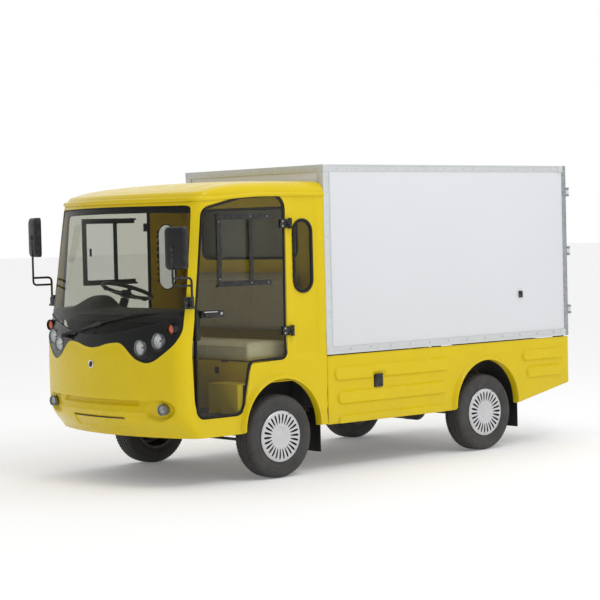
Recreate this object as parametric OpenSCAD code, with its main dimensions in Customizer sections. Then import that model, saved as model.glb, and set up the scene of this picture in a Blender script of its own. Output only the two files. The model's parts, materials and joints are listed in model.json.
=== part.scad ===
// Small electric mail delivery truck: a moulded cab over the front wheels, a separate
// white cargo box on a ladder frame, yellow side skirts, and everything that moves.
// X is the truck's left side, Y points to its rear, Z up. The origin is on the ground,
// at the centre of the truck's length and width. Millimetres.

/* [Overall] */
// Length from the nose to the rear lock handles
overall_len = 3990; // [3940:10:4040]
// Half of the body's width, without mirrors
half_w = 755; // [750:1:760]
// Nose to front axle
front_overhang = 990; // [980:1:1000]
// Front axle to rear axle
wheelbase = 2000; // [1980:5:2020]

/* [Wheels] */
// Tyre radius, size 165/70R13
tyre_r = 280.5; // [278:0.5:282]
// Tyre width
tyre_w = 165; // [160:1:166]
// Middle of the tyre to the centre line
half_track = 685; // [680:1:688]
// Kingpin to the tie rod's end, along the steering arm
steer_arm = 130; // [125:1:135]

/* [Cab] */
// Height of the cab's lower edge
sill_z = 325; // [320:1:330]
// Height of the roof at its middle
roof_z = 2010; // [1990:5:2020]
// Rake of the windscreen in degrees
rake = 10; // [9:0.5:11]
// Radius of the nose's bow in plan
bow_r = 1785; // [1700:5:1900]
// Thickness of the moulded cab shell
shell_t = 6; // [5:0.5:7]

/* [Cargo box] */
// Underside of the box
box_z0 = 798; // [796:1:800]
// Top of the box
box_z1 = 2100; // [2080:5:2120]
// Front of the box, measured along Y
box_y0 = -560; // [-562:1:-558]
// Rear face of the closed doors
box_y1 = 1960; // [1958:1:1962]
// Thickness of the sandwich panels
panel_t = 25; // [20:1:30]

/* [Hidden] */
$fn = 48;

cab_yellow = [0.88, 0.78, 0.08];
trim_black = [0.07, 0.07, 0.08];
rubber = [0.05, 0.05, 0.05];
steel_dark = [0.15, 0.15, 0.16];
silver = [0.78, 0.78, 0.80];
glass_tint = [0.6, 0.65, 0.6, 0.35];
box_white = [0.93, 0.93, 0.95];

// Running clearance on radius for every pin in its bore
fit = 0.05;

// Stations along Y
nose_y = -overall_len / 2;
tail_y = overall_len / 2;
front_y = nose_y + front_overhang;
rear_y = front_y + wheelbase;
axle_z = tyre_r;

// Cab shell: corner radius in plan, where the flat side starts, and where it bends
corner_r = 100;
corner_y = nose_y + 227;
corner_turn = 70;
bow_x = half_w - corner_r * (1 - cos(corner_turn));
bow_steps = 12;
rake_z = 900;
tuck_z = 560;
tuck_angle = 12;
chin_z = 440;
chin_angle = 40;
gutter_z = 1930;
cab_rear_y = box_y0 - 5;
split_y = nose_y + 250;
back_wall_y = box_y0 - 46;

// Wheel arches
arch_r = 337;
arch_z = 337;
arch_dy = 20;
flare_r = 362;
flare_x = 785;

// Ladder frame
rail_x = 395;
rail_w = 50;
rail_z0 = 360;
rail_h = 85;
bearer_z = 730;
seam = 0.5;
spring_l = 380;
damper_x = 330;
floor_z = 455;

// Steering
kingpin_x = 575;
kingpin_r = 12;
boss_r = 22;
boss_h = 80;
ear_t = 14;
ear_gap = 1;
spindle_r = 20;
hub_r = 45;
wheel_x = -320;
wheel_y = nose_y + 547;
wheel_z = 1264;
column_tilt = 20;
wheel_ring_r = 174;

// Cab doors: outline corners as [y, z, radius], and the hinge line
door_corners = [[-1708, 450, 60], [-1704, 1130, 500], [-1628, 1812, 75], [-1290, 1888, 500],
    [-918, 1904, 100], [-925, 797, 50], [-1245, 788, 35], [-1315, 450, 80]];
door_gap = 4;
door_x = 747;
glass_t = 6;
hinge_x = 773;
hinge_y = -886;
hinge_zs = [984, 1703];
hinge_pin_r = 6;
seal_w = 16;
handle_z = 1140;

// Sliding window in each door
vent_y0 = -1508;
vent_y1 = -1046;
vent_z0 = 1298;
vent_z1 = 1772;
vent_mid = -1236;
vent_bar = 36;

// Windows of the cab
oval_y = -762;
oval_r = 82;
oval_z0 = 1243;
oval_z1 = 1723;
back_glass_x = 520;
back_glass_z0 = 1465;
back_glass_z1 = 1815;
back_glass_r = 60;

// Right half of the big front opening as [x, z] points, top to bottom
front_top = [[0, 1840], [600, 1833], [712, 1825]];
front_low = [[742, 1106], [741, 1030], [722, 965], [690, 922], [630, 874], [565, 833],
    [500, 820], [430, 840], [385, 870], [330, 918], [290, 942], [250, 949], [160, 939],
    [80, 920], [0, 911]];
// Joint between windscreen and lamp mask, same half
mask_top = [[0, 996], [150, 1001], [300, 1021], [450, 1048], [600, 1080], [738, 1122]];

// Front lamps as [x, y, z, radius]
headlamps = [[456, nose_y + 70, 918, 52], [591, nose_y + 115, 963, 52]];
signal_lamp = [683, nose_y + 153, 1040, 33];
fog_lamp = [615, nose_y + 112, 520, 36];
lamp_depth = 45;

// Mirrors
bracket_y = -1753;
bracket_z = 1206;
mirror_x = 800;
mirror_y = -1880;
mirror_zs = [1559, 1649];
mirror_w = 165;
mirror_h = 275;
mirror_t = 50;
mirror_yaw = 15;
arm_r = 8;

// Rear doors
rear_hinge_x = 757;
rear_hinge_y = 1978;
rear_door_w = 707;
rear_door_t = 23;
frame_bar = 42;
rod_x = 70;
rod_y = 1976;
rod_r = 11;
rod_zs = [900, 1450, 2000];

// Side skirts
skirt_z1 = 790;
skirt_t = 5;
rib_t = 6;

// Battery compartment's charging port
port_y = -85;
port_z = 588;
port_w = 74;

// Pedals and parking brake
pedal_y = -1830;
pedal_z = 780;
pedal_r = 7;
pedal_xs = [-400, -240];
brake_x = -60;
brake_y = -1215;
brake_z = 545;

// Drive selector on the dashboard's rear face
selector = [-160, nose_y + 373, 1050];

// Seat
seat_y0 = -1205;
seat_y1 = -800;
seat_z0 = 790;
seat_z1 = 905;
seat_x = 680;
base_y0 = -1190;
lid_hinge_y = -1199;
lid_hinge_z = 786;
lid_hinge_xs = [-420, 420];
lid_pin_r = 4;

// ---------------------------------------------------------------- helpers

module both() {
    children();
    mirror([1, 0, 0]) children();
}

module on_side(side) {
    if (side > 0) children();
    else mirror([1, 0, 0]) children();
}

// Extrudes [y, z] points along X
module side_prism(points, x0, x1) {
    translate([x0, 0, 0]) rotate([90, 0, 90]) linear_extrude(x1 - x0) polygon(points);
}

// Extrudes [x, z] points along Y
module front_prism(points, y0, y1) {
    translate([0, y1, 0]) rotate([90, 0, 0]) linear_extrude(y1 - y0) polygon(points);
}

module block(low, high) {
    translate(low) cube(high - low);
}

module bar_x(x0, x1, y, z, r) {
    translate([x0, y, z]) rotate([0, 90, 0]) cylinder(h = x1 - x0, r = r);
}

module bar_y(y0, y1, x, z, r) {
    translate([x, y0, z]) rotate([-90, 0, 0]) cylinder(h = y1 - y0, r = r);
}

module bar_z(z0, z1, x, y, r) {
    translate([x, y, z0]) cylinder(h = z1 - z0, r = r);
}

function unit(v) = v / norm(v);

function corner_arc(a, p, b, r, n) =
    let (u = unit(a - p), w = unit(b - p), half = acos(u * w) / 2,
        c = p + unit(u + w) * r / sin(half),
        s = p + u * r / tan(half) - c, e = p + w * r / tan(half) - c,
        turn = (180 - 2 * half) * sign(s.x * e.y - s.y * e.x))
    [for (i = [0:n]) let (t = turn * i / n)
        c + [s.x * cos(t) - s.y * sin(t), s.x * sin(t) + s.y * cos(t)]];

// Rounds each corner [u, v, radius] of an outline
function rounded(k, n = 4) = [for (i = [0:len(k) - 1])
    let (m = len(k), a = k[(i + m - 1) % m], p = k[i], b = k[(i + 1) % m])
    each p[2] == 0 ? [[p.x, p.y]]
        : corner_arc([a.x, a.y], [p.x, p.y], [b.x, b.y], p[2], n)];

function rect(u0, v0, u1, v1, r) = rounded([[u0, v0, r], [u1, v0, r], [u1, v1, r], [u0, v1, r]]);

// Outline with each corner moved in by d, for gaps and seals of corner lists
function shrink(k, d) = [for (i = [0:len(k) - 1])
    let (m = len(k), p = [k[i].x, k[i].y],
        a = unit(p - [k[(i + m - 1) % m].x, k[(i + m - 1) % m].y]),
        b = unit([k[(i + 1) % m].x, k[(i + 1) % m].y] - p),
        na = [a.y, -a.x], nb = [b.y, -b.x],
        s = unit(na + nb) * d / cos(acos(na * nb) / 2),
        bend = a.x * b.y - a.y * b.x)
    [p.x + s.x, p.y + s.y, max(k[i][2] + (bend < 0 ? -d : d), 5)]];

function flipped(points) = [for (i = [len(points) - 1:-1:0]) [-points[i].x, points[i].y]];

// Whole symmetric outline from its right half, first point on the centre line
function full_outline(half) = concat(half, flipped(half));

// ---------------------------------------------------------------- cab form

function plan(t) =
    let (arc = [for (a = [0:corner_turn / 5:corner_turn])
            [half_w - corner_r + (corner_r - t) * cos(a), corner_y - (corner_r - t) * sin(a)]],
        bow = [for (i = [1:bow_steps - 1]) let (x = bow_x * (1 - 2 * i / bow_steps))
            [x, nose_y + t + x * x / (2 * bow_r)]])
    concat([[half_w - t, tail_y]], arc, bow,
        [for (i = [len(arc) - 1:-1:0]) [-arc[i].x, arc[i].y]], [[-(half_w - t), tail_y]]);

// Plan outline as a tall prism, leaning back by angle about the line y, z
module leaning_plan(t, angle, y, z) {
    translate([0, y, z]) rotate([-angle, 0, 0]) translate([0, -nose_y, -3000])
        linear_extrude(6000) polygon(plan(t));
}

// The cab's outside form, moved in by t
module cab_form(t) {
    half_top = [[0, roof_z], [350, roof_z - 3], [560, roof_z - 12], [660, roof_z - 28],
        [715, roof_z - 55], [742, roof_z - 80], [half_w, roof_z - 110], [half_w, 200]];
    brow = [[nose_y - 100, 200], [nose_y - 100, 1700], [nose_y + 140, 1848], [nose_y + 175, 1885],
        [nose_y + 240, 1922], [nose_y + 330, 1948], [nose_y + 500, 1972],
        [nose_y + 750, 1990], [nose_y + 1050, roof_z - 4], [cab_rear_y, roof_z], [cab_rear_y, 200]];
    intersection() {
        translate([0, 0, 200]) linear_extrude(2000) polygon(plan(t));
        leaning_plan(t, rake, nose_y, rake_z);
        leaning_plan(t, -tuck_angle, nose_y, tuck_z);
        leaning_plan(t, -chin_angle, nose_y + (tuck_z - chin_z) * tan(tuck_angle), chin_z);
        front_prism([for (p = full_outline(half_top)) [p.x * (half_w - t) / half_w, p.y - t]],
            nose_y - 200, cab_rear_y + 1);
        side_prism([for (p = brow) [p.x, p.y - t]], -900, 900);
    }
}

module cab_shell() {
    difference() {
        cab_form(0);
        cab_form(shell_t);
        block([-900, nose_y - 100, 0], [900, cab_rear_y + 10, sill_z]);
    }
}

// Everything ahead of the joint between nose and sides
module ahead_of_split() {
    side_prism([[nose_y - 50, 100], [split_y, 100], [split_y, rake_z],
        [split_y + (gutter_z - rake_z) * tan(rake), gutter_z], [nose_y - 50, gutter_z]], -900, 900);
}

module behind_split() {
    side_prism([[split_y, 100], [0, 100], [0, gutter_z],
        [split_y + (gutter_z - rake_z) * tan(rake), gutter_z], [split_y, rake_z]], -900, 900);
}

module door_hole(gap) {
    both() side_prism(rounded(shrink(door_corners, gap)), 700, 850);
}

module arch_hole() {
    for (y = [front_y, rear_y]) {
        bar_x(-900, 900, y + arch_dy, arch_z, arch_r);
        block([-900, y + arch_dy - arch_r, 0], [900, y + arch_dy + arch_r, arch_z]);
    }
}

module oval(grow, x0, x1) {
    hole_r = oval_r + grow;
    side_prism(rect(oval_y - hole_r, oval_z0 - grow, oval_y + hole_r, oval_z1 + grow, hole_r - 0.5),
        x0, x1);
}

module back_hole(grow, y0, y1) {
    front_prism(rect(-back_glass_x - grow, back_glass_z0 - grow, back_glass_x + grow,
        back_glass_z1 + grow, back_glass_r + grow), y0, y1);
}

// ---------------------------------------------------------------- cab parts

module cab_front() color(cab_yellow) difference() {
    intersection() {
        cab_shell();
        ahead_of_split();
    }
    front_prism(full_outline(concat(front_top, front_low)), nose_y - 100, nose_y + 600);
    door_hole(-door_gap);
    both() bar_y(nose_y - 10, nose_y + 300, fog_lamp.x, fog_lamp.z, fog_lamp[3] + 1);
}

// Raised lip round a wheel opening
module flare(y) {
    difference() {
        bar_x(half_w - 1, flare_x, y + arch_dy, arch_z, flare_r);
        bar_x(half_w - 10, flare_x + 10, y + arch_dy, arch_z, arch_r);
        block([half_w - 10, y - 500, -100], [flare_x + 10, y + 500, sill_z + 10]);
    }
}

module cab_sides() color(cab_yellow) difference() {
    union() {
        intersection() {
            cab_shell();
            behind_split();
        }
        both() flare(front_y);
    }
    door_hole(-door_gap);
    arch_hole();
    both() oval(3, 700, 800);
    block([-900, cab_rear_y - 40, 100], [900, cab_rear_y + 200, sill_z + 10]);
}

module cab_roof() color(cab_yellow) intersection() {
    cab_shell();
    block([-900, nose_y - 50, gutter_z], [900, cab_rear_y, box_z1]);
}

module cab_back() color(cab_yellow) difference() {
    front_prism(rounded([[-742, 660, 5], [742, 660, 5], [742, 1885, 5], [650, 1960, 60],
        [-650, 1960, 60], [-742, 1885, 5]]), back_wall_y, back_wall_y + shell_t);
    back_hole(3, back_wall_y - 10, back_wall_y + 20);
}

module glass_skin() {
    difference() {
        cab_form(1);
        cab_form(1 + glass_t);
    }
}

// Moves outline points towards the middle of the opening
function pulled(points, d) = [for (p = points) [p.x - sign(p.x) * d, p.y + (p.y > 1400 ? -d : 0)]];

module fixed_glass() color(glass_tint) {
    intersection() {
        glass_skin();
        front_prism(pulled(full_outline(concat(front_top,
            [for (i = [len(mask_top) - 1:-1:0]) mask_top[i] + [0, 2]])), 2), nose_y - 50, nose_y + 500);
    }
    both() oval(-6, door_x, door_x + glass_t);
    back_hole(-6, back_wall_y, back_wall_y + glass_t);
}

module ring_seal_oval() {
    difference() {
        oval(12, door_x - 4, half_w + 5);
        oval(-6, door_x - 10, half_w + 10);
        difference() {
            oval(40, half_w - shell_t - 0.5, half_w + 0.5);
            oval(2.5, half_w - 20, half_w + 20);
        }
    }
}

module window_seals() color(rubber) {
    both() ring_seal_oval();
    difference() {
        back_hole(12, back_wall_y - 5, back_wall_y + shell_t + 5);
        back_hole(-6, back_wall_y - 10, back_wall_y + 20);
        difference() {
            back_hole(40, back_wall_y - 0.5, back_wall_y + shell_t + 0.5);
            back_hole(2.5, back_wall_y - 10, back_wall_y + 20);
        }
    }
}

module lamp_mask() color(trim_black) difference() {
    intersection() {
        glass_skin();
        front_prism(full_outline(concat(mask_top, [for (p = front_low) p + [p.x > 0 ? -2 : 0, 2]])),
            nose_y - 50, nose_y + 500);
    }
    for (l = headlamps) both() bar_y(nose_y - 20, nose_y + 400, l.x, l.z, l[3] + 1);
    both() bar_y(nose_y - 20, nose_y + 400, signal_lamp.x, signal_lamp.z, signal_lamp[3] + 1);
    wiper_pivot() translate([0, 0, -100]) cylinder(h = 200, r = 15);
}

module lamps() color("white") {
    for (l = concat(headlamps, [signal_lamp, fog_lamp]))
        both() bar_y(l.y, l.y + lamp_depth, l.x, l.z, l[3]);
    for (z = [640, 700]) both() bar_y(box_y1 - 4 + seam, box_y1 + 20, 660, z, 26);
}

module dashboard() color(trim_black) {
    intersection() {
        cab_form(shell_t + 5);
        side_prism([[nose_y, 1088], [nose_y, 1135], [nose_y + 290, 1160], [nose_y + 355, 1140],
            [nose_y + 370, 960], [nose_y + 345, 950], [nose_y + 310, 1070]], -720, 720);
    }
    // Hood over the instruments
    translate([wheel_x, nose_y + 230, 1164]) rotate([-90, 0, 0]) intersection() {
        cylinder(h = 110, r = 130);
        translate([-130, -75, -5]) cube([260, 75, 120]);
    }
}

module column_axis() {
    translate([wheel_x, wheel_y, wheel_z]) rotate([-column_tilt, 0, 0]) children();
}

module steering_column() color(trim_black) difference() {
    union() {
        column_axis() {
            translate([0, 0, -60]) cylinder(h = 40, r = 9);
            translate([0, 0, -420]) cylinder(h = 362, r = 30);
            translate([0, 0, -820]) cylinder(h = 402, r = 14);
        }
        block([wheel_x - 40, nose_y + 368, 1060], [wheel_x + 40, nose_y + 470, 1085]);
    }
    block([wheel_x - 60, nose_y, 0], [wheel_x + 60, nose_y + 500, floor_z]);
}

module steering_wheel() color(trim_black) column_axis() difference() {
    union() {
        rotate_extrude() translate([wheel_ring_r, 0]) circle(r = 14, $fn = 32);
        for (a = [90, 210, 330]) rotate([0, 0, a])
            translate([20, -14, -22]) cube([wheel_ring_r - 24, 28, 12]);
        translate([0, 0, -48]) cylinder(h = 44, r = 36);
    }
    translate([0, 0, -60]) cylinder(h = 50, r = 9 + fit);
    translate([0, 0, -16]) cylinder(h = 60, r = 29);
}

module horn_button() color(trim_black) column_axis()
    translate([0, 0, -12]) cylinder(h = 14, r1 = 28, r2 = 24);

module seat_base() color(cab_yellow) difference() {
    block([-735, base_y0, floor_z + 1], [735, back_wall_y - 6, 782]);
    block([-729, base_y0 + 6, floor_z - 10], [729, back_wall_y - 12, 774]);
    block([-330, base_y0 + 58, 700], [330, seat_y1 - 40, 800]);
    both() block([437, front_y - 350, 0], [800, front_y + 350, 652]);
}

// Cushion with the two lugs it tips forward on
module seat_cushion() color([0.85, 0.82, 0.72]) difference() {
    union() {
        side_prism(rect(seat_y0, seat_z0, seat_y1, seat_z1, 28), -seat_x, seat_x);
        for (x = lid_hinge_xs) {
            bar_x(x - 17, x + 17, lid_hinge_y, lid_hinge_z, 7);
            block([x - 17, lid_hinge_y - 4, lid_hinge_z], [x + 17, lid_hinge_y + 4, seat_z0 + 22]);
        }
    }
    for (x = lid_hinge_xs) bar_x(x - 20, x + 20, lid_hinge_y, lid_hinge_z, lid_pin_r + fit);
}

module seat_backrest() color([0.62, 0.58, 0.50])
    translate([0, -706, 905]) rotate([-8, 0, 0])
        side_prism(rect(-78, 40, 0, 480, 28), -600, 600);

module cab_floor() color(steel_dark) {
    difference() {
        intersection() {
            cab_form(shell_t + 2);
            block([-742, nose_y, floor_z - 8], [742, base_y0 + 58, floor_z]);
        }
        both() block([442, front_y - 354, 0], [800, front_y + 400, 700]);
    }
    // Wheel houses
    both() difference() {
        block([438, front_y - 350, floor_z - 8], [742, front_y + 350, 650]);
        block([444, front_y - 344, 0], [800, front_y + 344, 644]);
    }
}

// ---------------------------------------------------------------- chassis

// Every bar is a separate box, a seam away from the bars it is bolted to
module chassis_frame() color(steel_dark) {
    rail_in = rail_x - rail_w / 2;
    rail_out = rail_x + rail_w / 2;
    skirt_in = half_w - skirt_t;
    both() block([rail_in, nose_y + 190, rail_z0], [rail_out, box_y1 - 22, rail_z0 + rail_h]);
    for (y = [nose_y + 190, front_y - 420, front_y + 420, 300, rear_y - 420, rear_y + 420, box_y1 - 64])
        block([-rail_in + seam, y, rail_z0 + 15], [rail_in - seam, y + 40, rail_z0 + 65]);
    // Posts and bearers that carry the cargo box
    for (y = [box_y0 + 10, 250, rear_y - 520, rear_y + 440, box_y1 - 74]) {
        both() block([rail_in, y, rail_z0 + rail_h + seam], [rail_out, y + 50, bearer_z - seam]);
        block([seam - skirt_in, y, bearer_z], [skirt_in - seam, y + 50, box_z0 - 30 - seam]);
    }
    both() block([rail_in, box_y0 + 10, box_z0 - 30], [rail_out, box_y1 - 22, box_z0 - seam]);
    // Rear bumper bar and the plates that hold the tail lamps
    block([-640, box_y1 - 22 + seam, 430], [640, box_y1 + 10, 520]);
    both() block([610, box_y1 - 20, 600], [710, box_y1 - 4, box_z0 - seam]);
    // Arms that hold the mud flaps
    both() for (y = [front_y, rear_y])
        block([rail_out + seam, y + 366, 410], [640, y + 372 - seam, 438]);
    // Spring hangers
    both() for (y = [front_y, rear_y]) for (dy = [-spring_l - 30, spring_l])
        block([rail_in, y + dy, 318], [rail_out, y + dy + 30, rail_z0 - seam]);
}

module front_axle() color(steel_dark) {
    bar_x(-kingpin_x + boss_r - 4, kingpin_x - boss_r + 4, front_y, axle_z, 26);
    both() difference() {
        bar_z(axle_z - boss_h / 2, axle_z + boss_h / 2, kingpin_x, front_y, boss_r);
        bar_z(0, 600, kingpin_x, front_y, kingpin_r + fit);
    }
}

module knuckle(side) color(steel_dark) on_side(side) {
    bar_z(axle_z - boss_h / 2 - ear_t - ear_gap, axle_z + boss_h / 2 + ear_t + ear_gap,
        kingpin_x, front_y, kingpin_r);
    for (z = [axle_z - boss_h / 2 - ear_t - ear_gap, axle_z + boss_h / 2 + ear_gap]) {
        difference() {
            union() {
                bar_z(z, z + ear_t, kingpin_x, front_y, boss_r);
                block([kingpin_x, front_y - boss_r, z], [kingpin_x + 40, front_y + boss_r, z + ear_t]);
            }
            bar_z(0, 600, kingpin_x, front_y, kingpin_r);
        }
    }
    block([kingpin_x + 26, front_y - 30, axle_z - boss_h / 2 - ear_gap],
        [kingpin_x + 40, front_y + 30, axle_z + boss_h / 2 + ear_gap]);
    bar_x(kingpin_x + 40, half_track + 58, front_y, axle_z, spindle_r);
    block([kingpin_x - 13, front_y + boss_r - 4, axle_z - boss_h / 2 - ear_t - ear_gap],
        [kingpin_x + 13, front_y + steer_arm + 13, axle_z - boss_h / 2 - ear_gap]);
}

module tie_rod() color(steel_dark) {
    low_z = axle_z - boss_h / 2 - ear_t - ear_gap - 4;
    bar_x(-kingpin_x + 10, kingpin_x - 10, front_y + steer_arm, low_z - 14, 10);
    both() bar_z(low_z - 26, low_z, kingpin_x - 5, front_y + steer_arm, 15);
}

module rear_axle() color(steel_dark) {
    bar_x(-600, 600, rear_y, axle_z, 34);
    both() bar_x(590, half_track + 58, rear_y, axle_z, spindle_r);
    // Final drive, and the motor ahead of it
    bar_x(-58, 58, rear_y, axle_z, 100);
    bar_x(-60, 220, rear_y - 170, axle_z + 15, 88);
    block([-50, rear_y - 170, axle_z - 60], [50, rear_y, axle_z + 75]);
}

// Leaf packs with their saddles on the axle tubes, and a damper beside each
module suspension() color(steel_dark) {
    both() for (axle = [[front_y, 26], [rear_y, 34]]) {
        for (i = [0:2]) let (half = spring_l - 110 * i)
            block([rail_x - 24, axle[0] - half + seam, 320 + 9 * i],
                [rail_x + 24, axle[0] + half - seam, 328.5 + 9 * i]);
        difference() {
            block([rail_x - 30, axle[0] - 40, axle_z + 5], [rail_x + 30, axle[0] + 40, 319.5]);
            bar_x(0, 800, axle[0], axle_z, axle[1] + seam);
        }
        bar_z(axle_z + axle[1] + 4, 350, damper_x, axle[0], 14);
        bar_z(350, 440, damper_x, axle[0], 20);
    }
}

// Batteries in two rows on a tray that rests across both rails
module battery_pack() color([0.2, 0.25, 0.3]) {
    tray_x = rail_x + 20;
    tray_z = rail_z0 + rail_h + seam;
    block([-tray_x, box_y0 + 110, tray_z], [tray_x, 225, tray_z + 8]);
    for (iy = [0:3], ix = [0:1])
        block([ix * 345 - 340, box_y0 + 120 + iy * 165, tray_z + 9], [ix * 345 - 5, box_y0 + 275 + iy * 165, 690]);
}

module mud_flaps() color(rubber) {
    both() for (y = [front_y, rear_y]) block([600, y + 372, 140], [742, y + 378, 440]);
}

// ---------------------------------------------------------------- wheels

tyre_outer = [[168, -62], [176, -72], [205, -79], [240, -tyre_w / 2], [264, -77], [276, -66],
    [tyre_r, -50], [tyre_r, 50], [276, 66], [264, 77], [240, tyre_w / 2], [205, 79], [176, 72],
    [168, 62]];
tyre_inner = [[168, 52], [205, 64], [240, 67], [266, 45], [266, -45], [240, -67], [205, -64],
    [168, -52]];

module wheel_place(side, y) {
    on_side(side) translate([half_track, y, axle_z]) rotate([0, 90, 0]) children();
}

module tyre(side, y) color(rubber) wheel_place(side, y)
    rotate_extrude($fn = 64) polygon(concat(tyre_outer, tyre_inner));

// Steel rim, hub, drum and the silver trim disc over them
module rim(side, y) color(silver) wheel_place(side, y) difference() {
    union() {
        rotate_extrude($fn = 64) polygon([[158, -76], [176, -76], [176, -72.5], [167.5, -62], [167.5, 62],
            [176, 72.5], [176, 76], [158, 76], [158, 50], [60, 30], [60, 62], [26, 62],
            [26, 22], [60, 22], [158, 42]]);
        translate([0, 0, -52]) cylinder(h = 100, r = hub_r);
        rotate_extrude($fn = 64) polygon([[0, 66], [150, 72], [174, 76.5], [174, 79], [160, 85],
            [90, 78], [50, 72], [0, 70]]);
    }
    translate([0, 0, -60]) cylinder(h = 120, r = spindle_r + fit);
}

// ---------------------------------------------------------------- cab doors

// Turns about the hinge line: glass pane with a hole behind the sliding window
module door_glass(side) color(glass_tint) on_side(side) difference() {
    side_prism(rounded(shrink(door_corners, seal_w - 4)), door_x, door_x + glass_t);
    block([700, vent_y0 + vent_bar, vent_z0 + vent_bar], [800, vent_mid, vent_z1 - vent_bar]);
}

module hinge_clamp(z) {
    difference() {
        union() {
            bar_z(z - 18, z + 18, hinge_x, hinge_y, 13);
            block([half_w + 1, hinge_y - 75, z - 30], [half_w + 9, hinge_y - 14, z + 30]);
            block([half_w + 1, hinge_y - 18, z - 18], [hinge_x, hinge_y, z + 18]);
        }
        bar_z(0, 2000, hinge_x, hinge_y, hinge_pin_r + fit);
    }
}

module door_frame(side) color(trim_black) on_side(side) {
    // Rubber edge round the pane
    difference() {
        side_prism(rounded(shrink(door_corners, 1)), door_x - 3, half_w + 1);
        side_prism(rounded(shrink(door_corners, seal_w)), 700, 800);
        side_prism(rounded(shrink(door_corners, seal_w - 4.5)), door_x - 0.3, door_x + glass_t + 0.3);
    }
    for (z = hinge_zs) hinge_clamp(z);
    // Outer frame of the sliding window
    block([door_x + glass_t, vent_y0, vent_z0], [half_w + 4, vent_y0 + vent_bar, vent_z1]);
    block([door_x + glass_t, vent_mid, vent_z0], [half_w + 4, vent_mid + vent_bar, vent_z1]);
    for (z = [vent_z0, vent_z1 - vent_bar])
        block([door_x + glass_t, vent_y0, z], [half_w + 4, vent_y1, z + vent_bar]);
    // Inner rails that hold the sliding pane
    for (z = [vent_z0, vent_z1 - 14])
        block([door_x - 14, vent_y0, z], [door_x, vent_y1, z + 14]);
    // Latch case near the front edge
    block([half_w + 1, -1657, 1104], [half_w + 10, -1464, 1150]);
    block([door_x - 22, -1640, 1100], [door_x, -1560, 1150]);
    for (y = [-1652, -1529]) difference() {
        block([half_w + 10, y, handle_z - 9], [half_w + 24, y + 11, handle_z + 9]);
        bar_y(-1700, -1500, half_w + 17, handle_z, 4 + fit);
    }
}

module sliding_pane(side) color(glass_tint) on_side(side)
    block([door_x - 11, vent_y0 + 6, vent_z0 + 15], [door_x - 6, vent_mid + 20, vent_z1 - 15]);

// Pull paddle of the latch, turning on its upper edge
module door_handle(side) color(trim_black) on_side(side) {
    bar_y(-1651, -1519, half_w + 17, handle_z, 4);
    bar_y(-1640, -1530, half_w + 17, handle_z, 6);
    block([half_w + 13, -1635, 1108], [half_w + 20, -1535, handle_z]);
}

// ---------------------------------------------------------------- mirrors

module mirror_arm(side) color(trim_black) on_side(side) {
    head_z = side > 0 ? mirror_zs[0] : mirror_zs[1];
    difference() {
        bar_z(bracket_z - 22, bracket_z + 22, 792, bracket_y, 14);
        bar_z(0, 2000, 792, bracket_y, hinge_pin_r + fit);
    }
    bar_z(bracket_z + 22, 1326, 792, bracket_y, arm_r);
    bar_y(mirror_y - 25, bracket_y, 792, 1318, arm_r);
    translate([792, bracket_y, 1318]) sphere(r = arm_r);
    bar_y(mirror_y - 25, bracket_y, 792, 1368, arm_r);
    bar_z(1318, 1368, 792, bracket_y, arm_r);
    bar_z(1310, head_z - 20, 792, mirror_y - 25, arm_r);
    bar_z(head_z - 20, head_z + 20, 792, mirror_y - 25, hinge_pin_r);
}

module mirror_head(side) color(trim_black) on_side(side) {
    head_z = side > 0 ? mirror_zs[0] : mirror_zs[1];
    difference() {
        union() {
            translate([mirror_x, mirror_y, head_z]) rotate([0, 0, mirror_yaw]) translate([0, mirror_t / 2, 0])
                rotate([90, 0, 0]) linear_extrude(mirror_t)
                    polygon(rect(-mirror_w / 2, -mirror_h / 2, mirror_w / 2, mirror_h / 2, 25));
            bar_z(head_z - 15, head_z + 15, 792, mirror_y - 25, 14);
        }
        bar_z(0, head_z + 24, 792, mirror_y - 25, hinge_pin_r + fit);
        bar_z(0, head_z - 15, 792, mirror_y - 25, 16);
    }
}

// ---------------------------------------------------------------- fixed fittings

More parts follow.
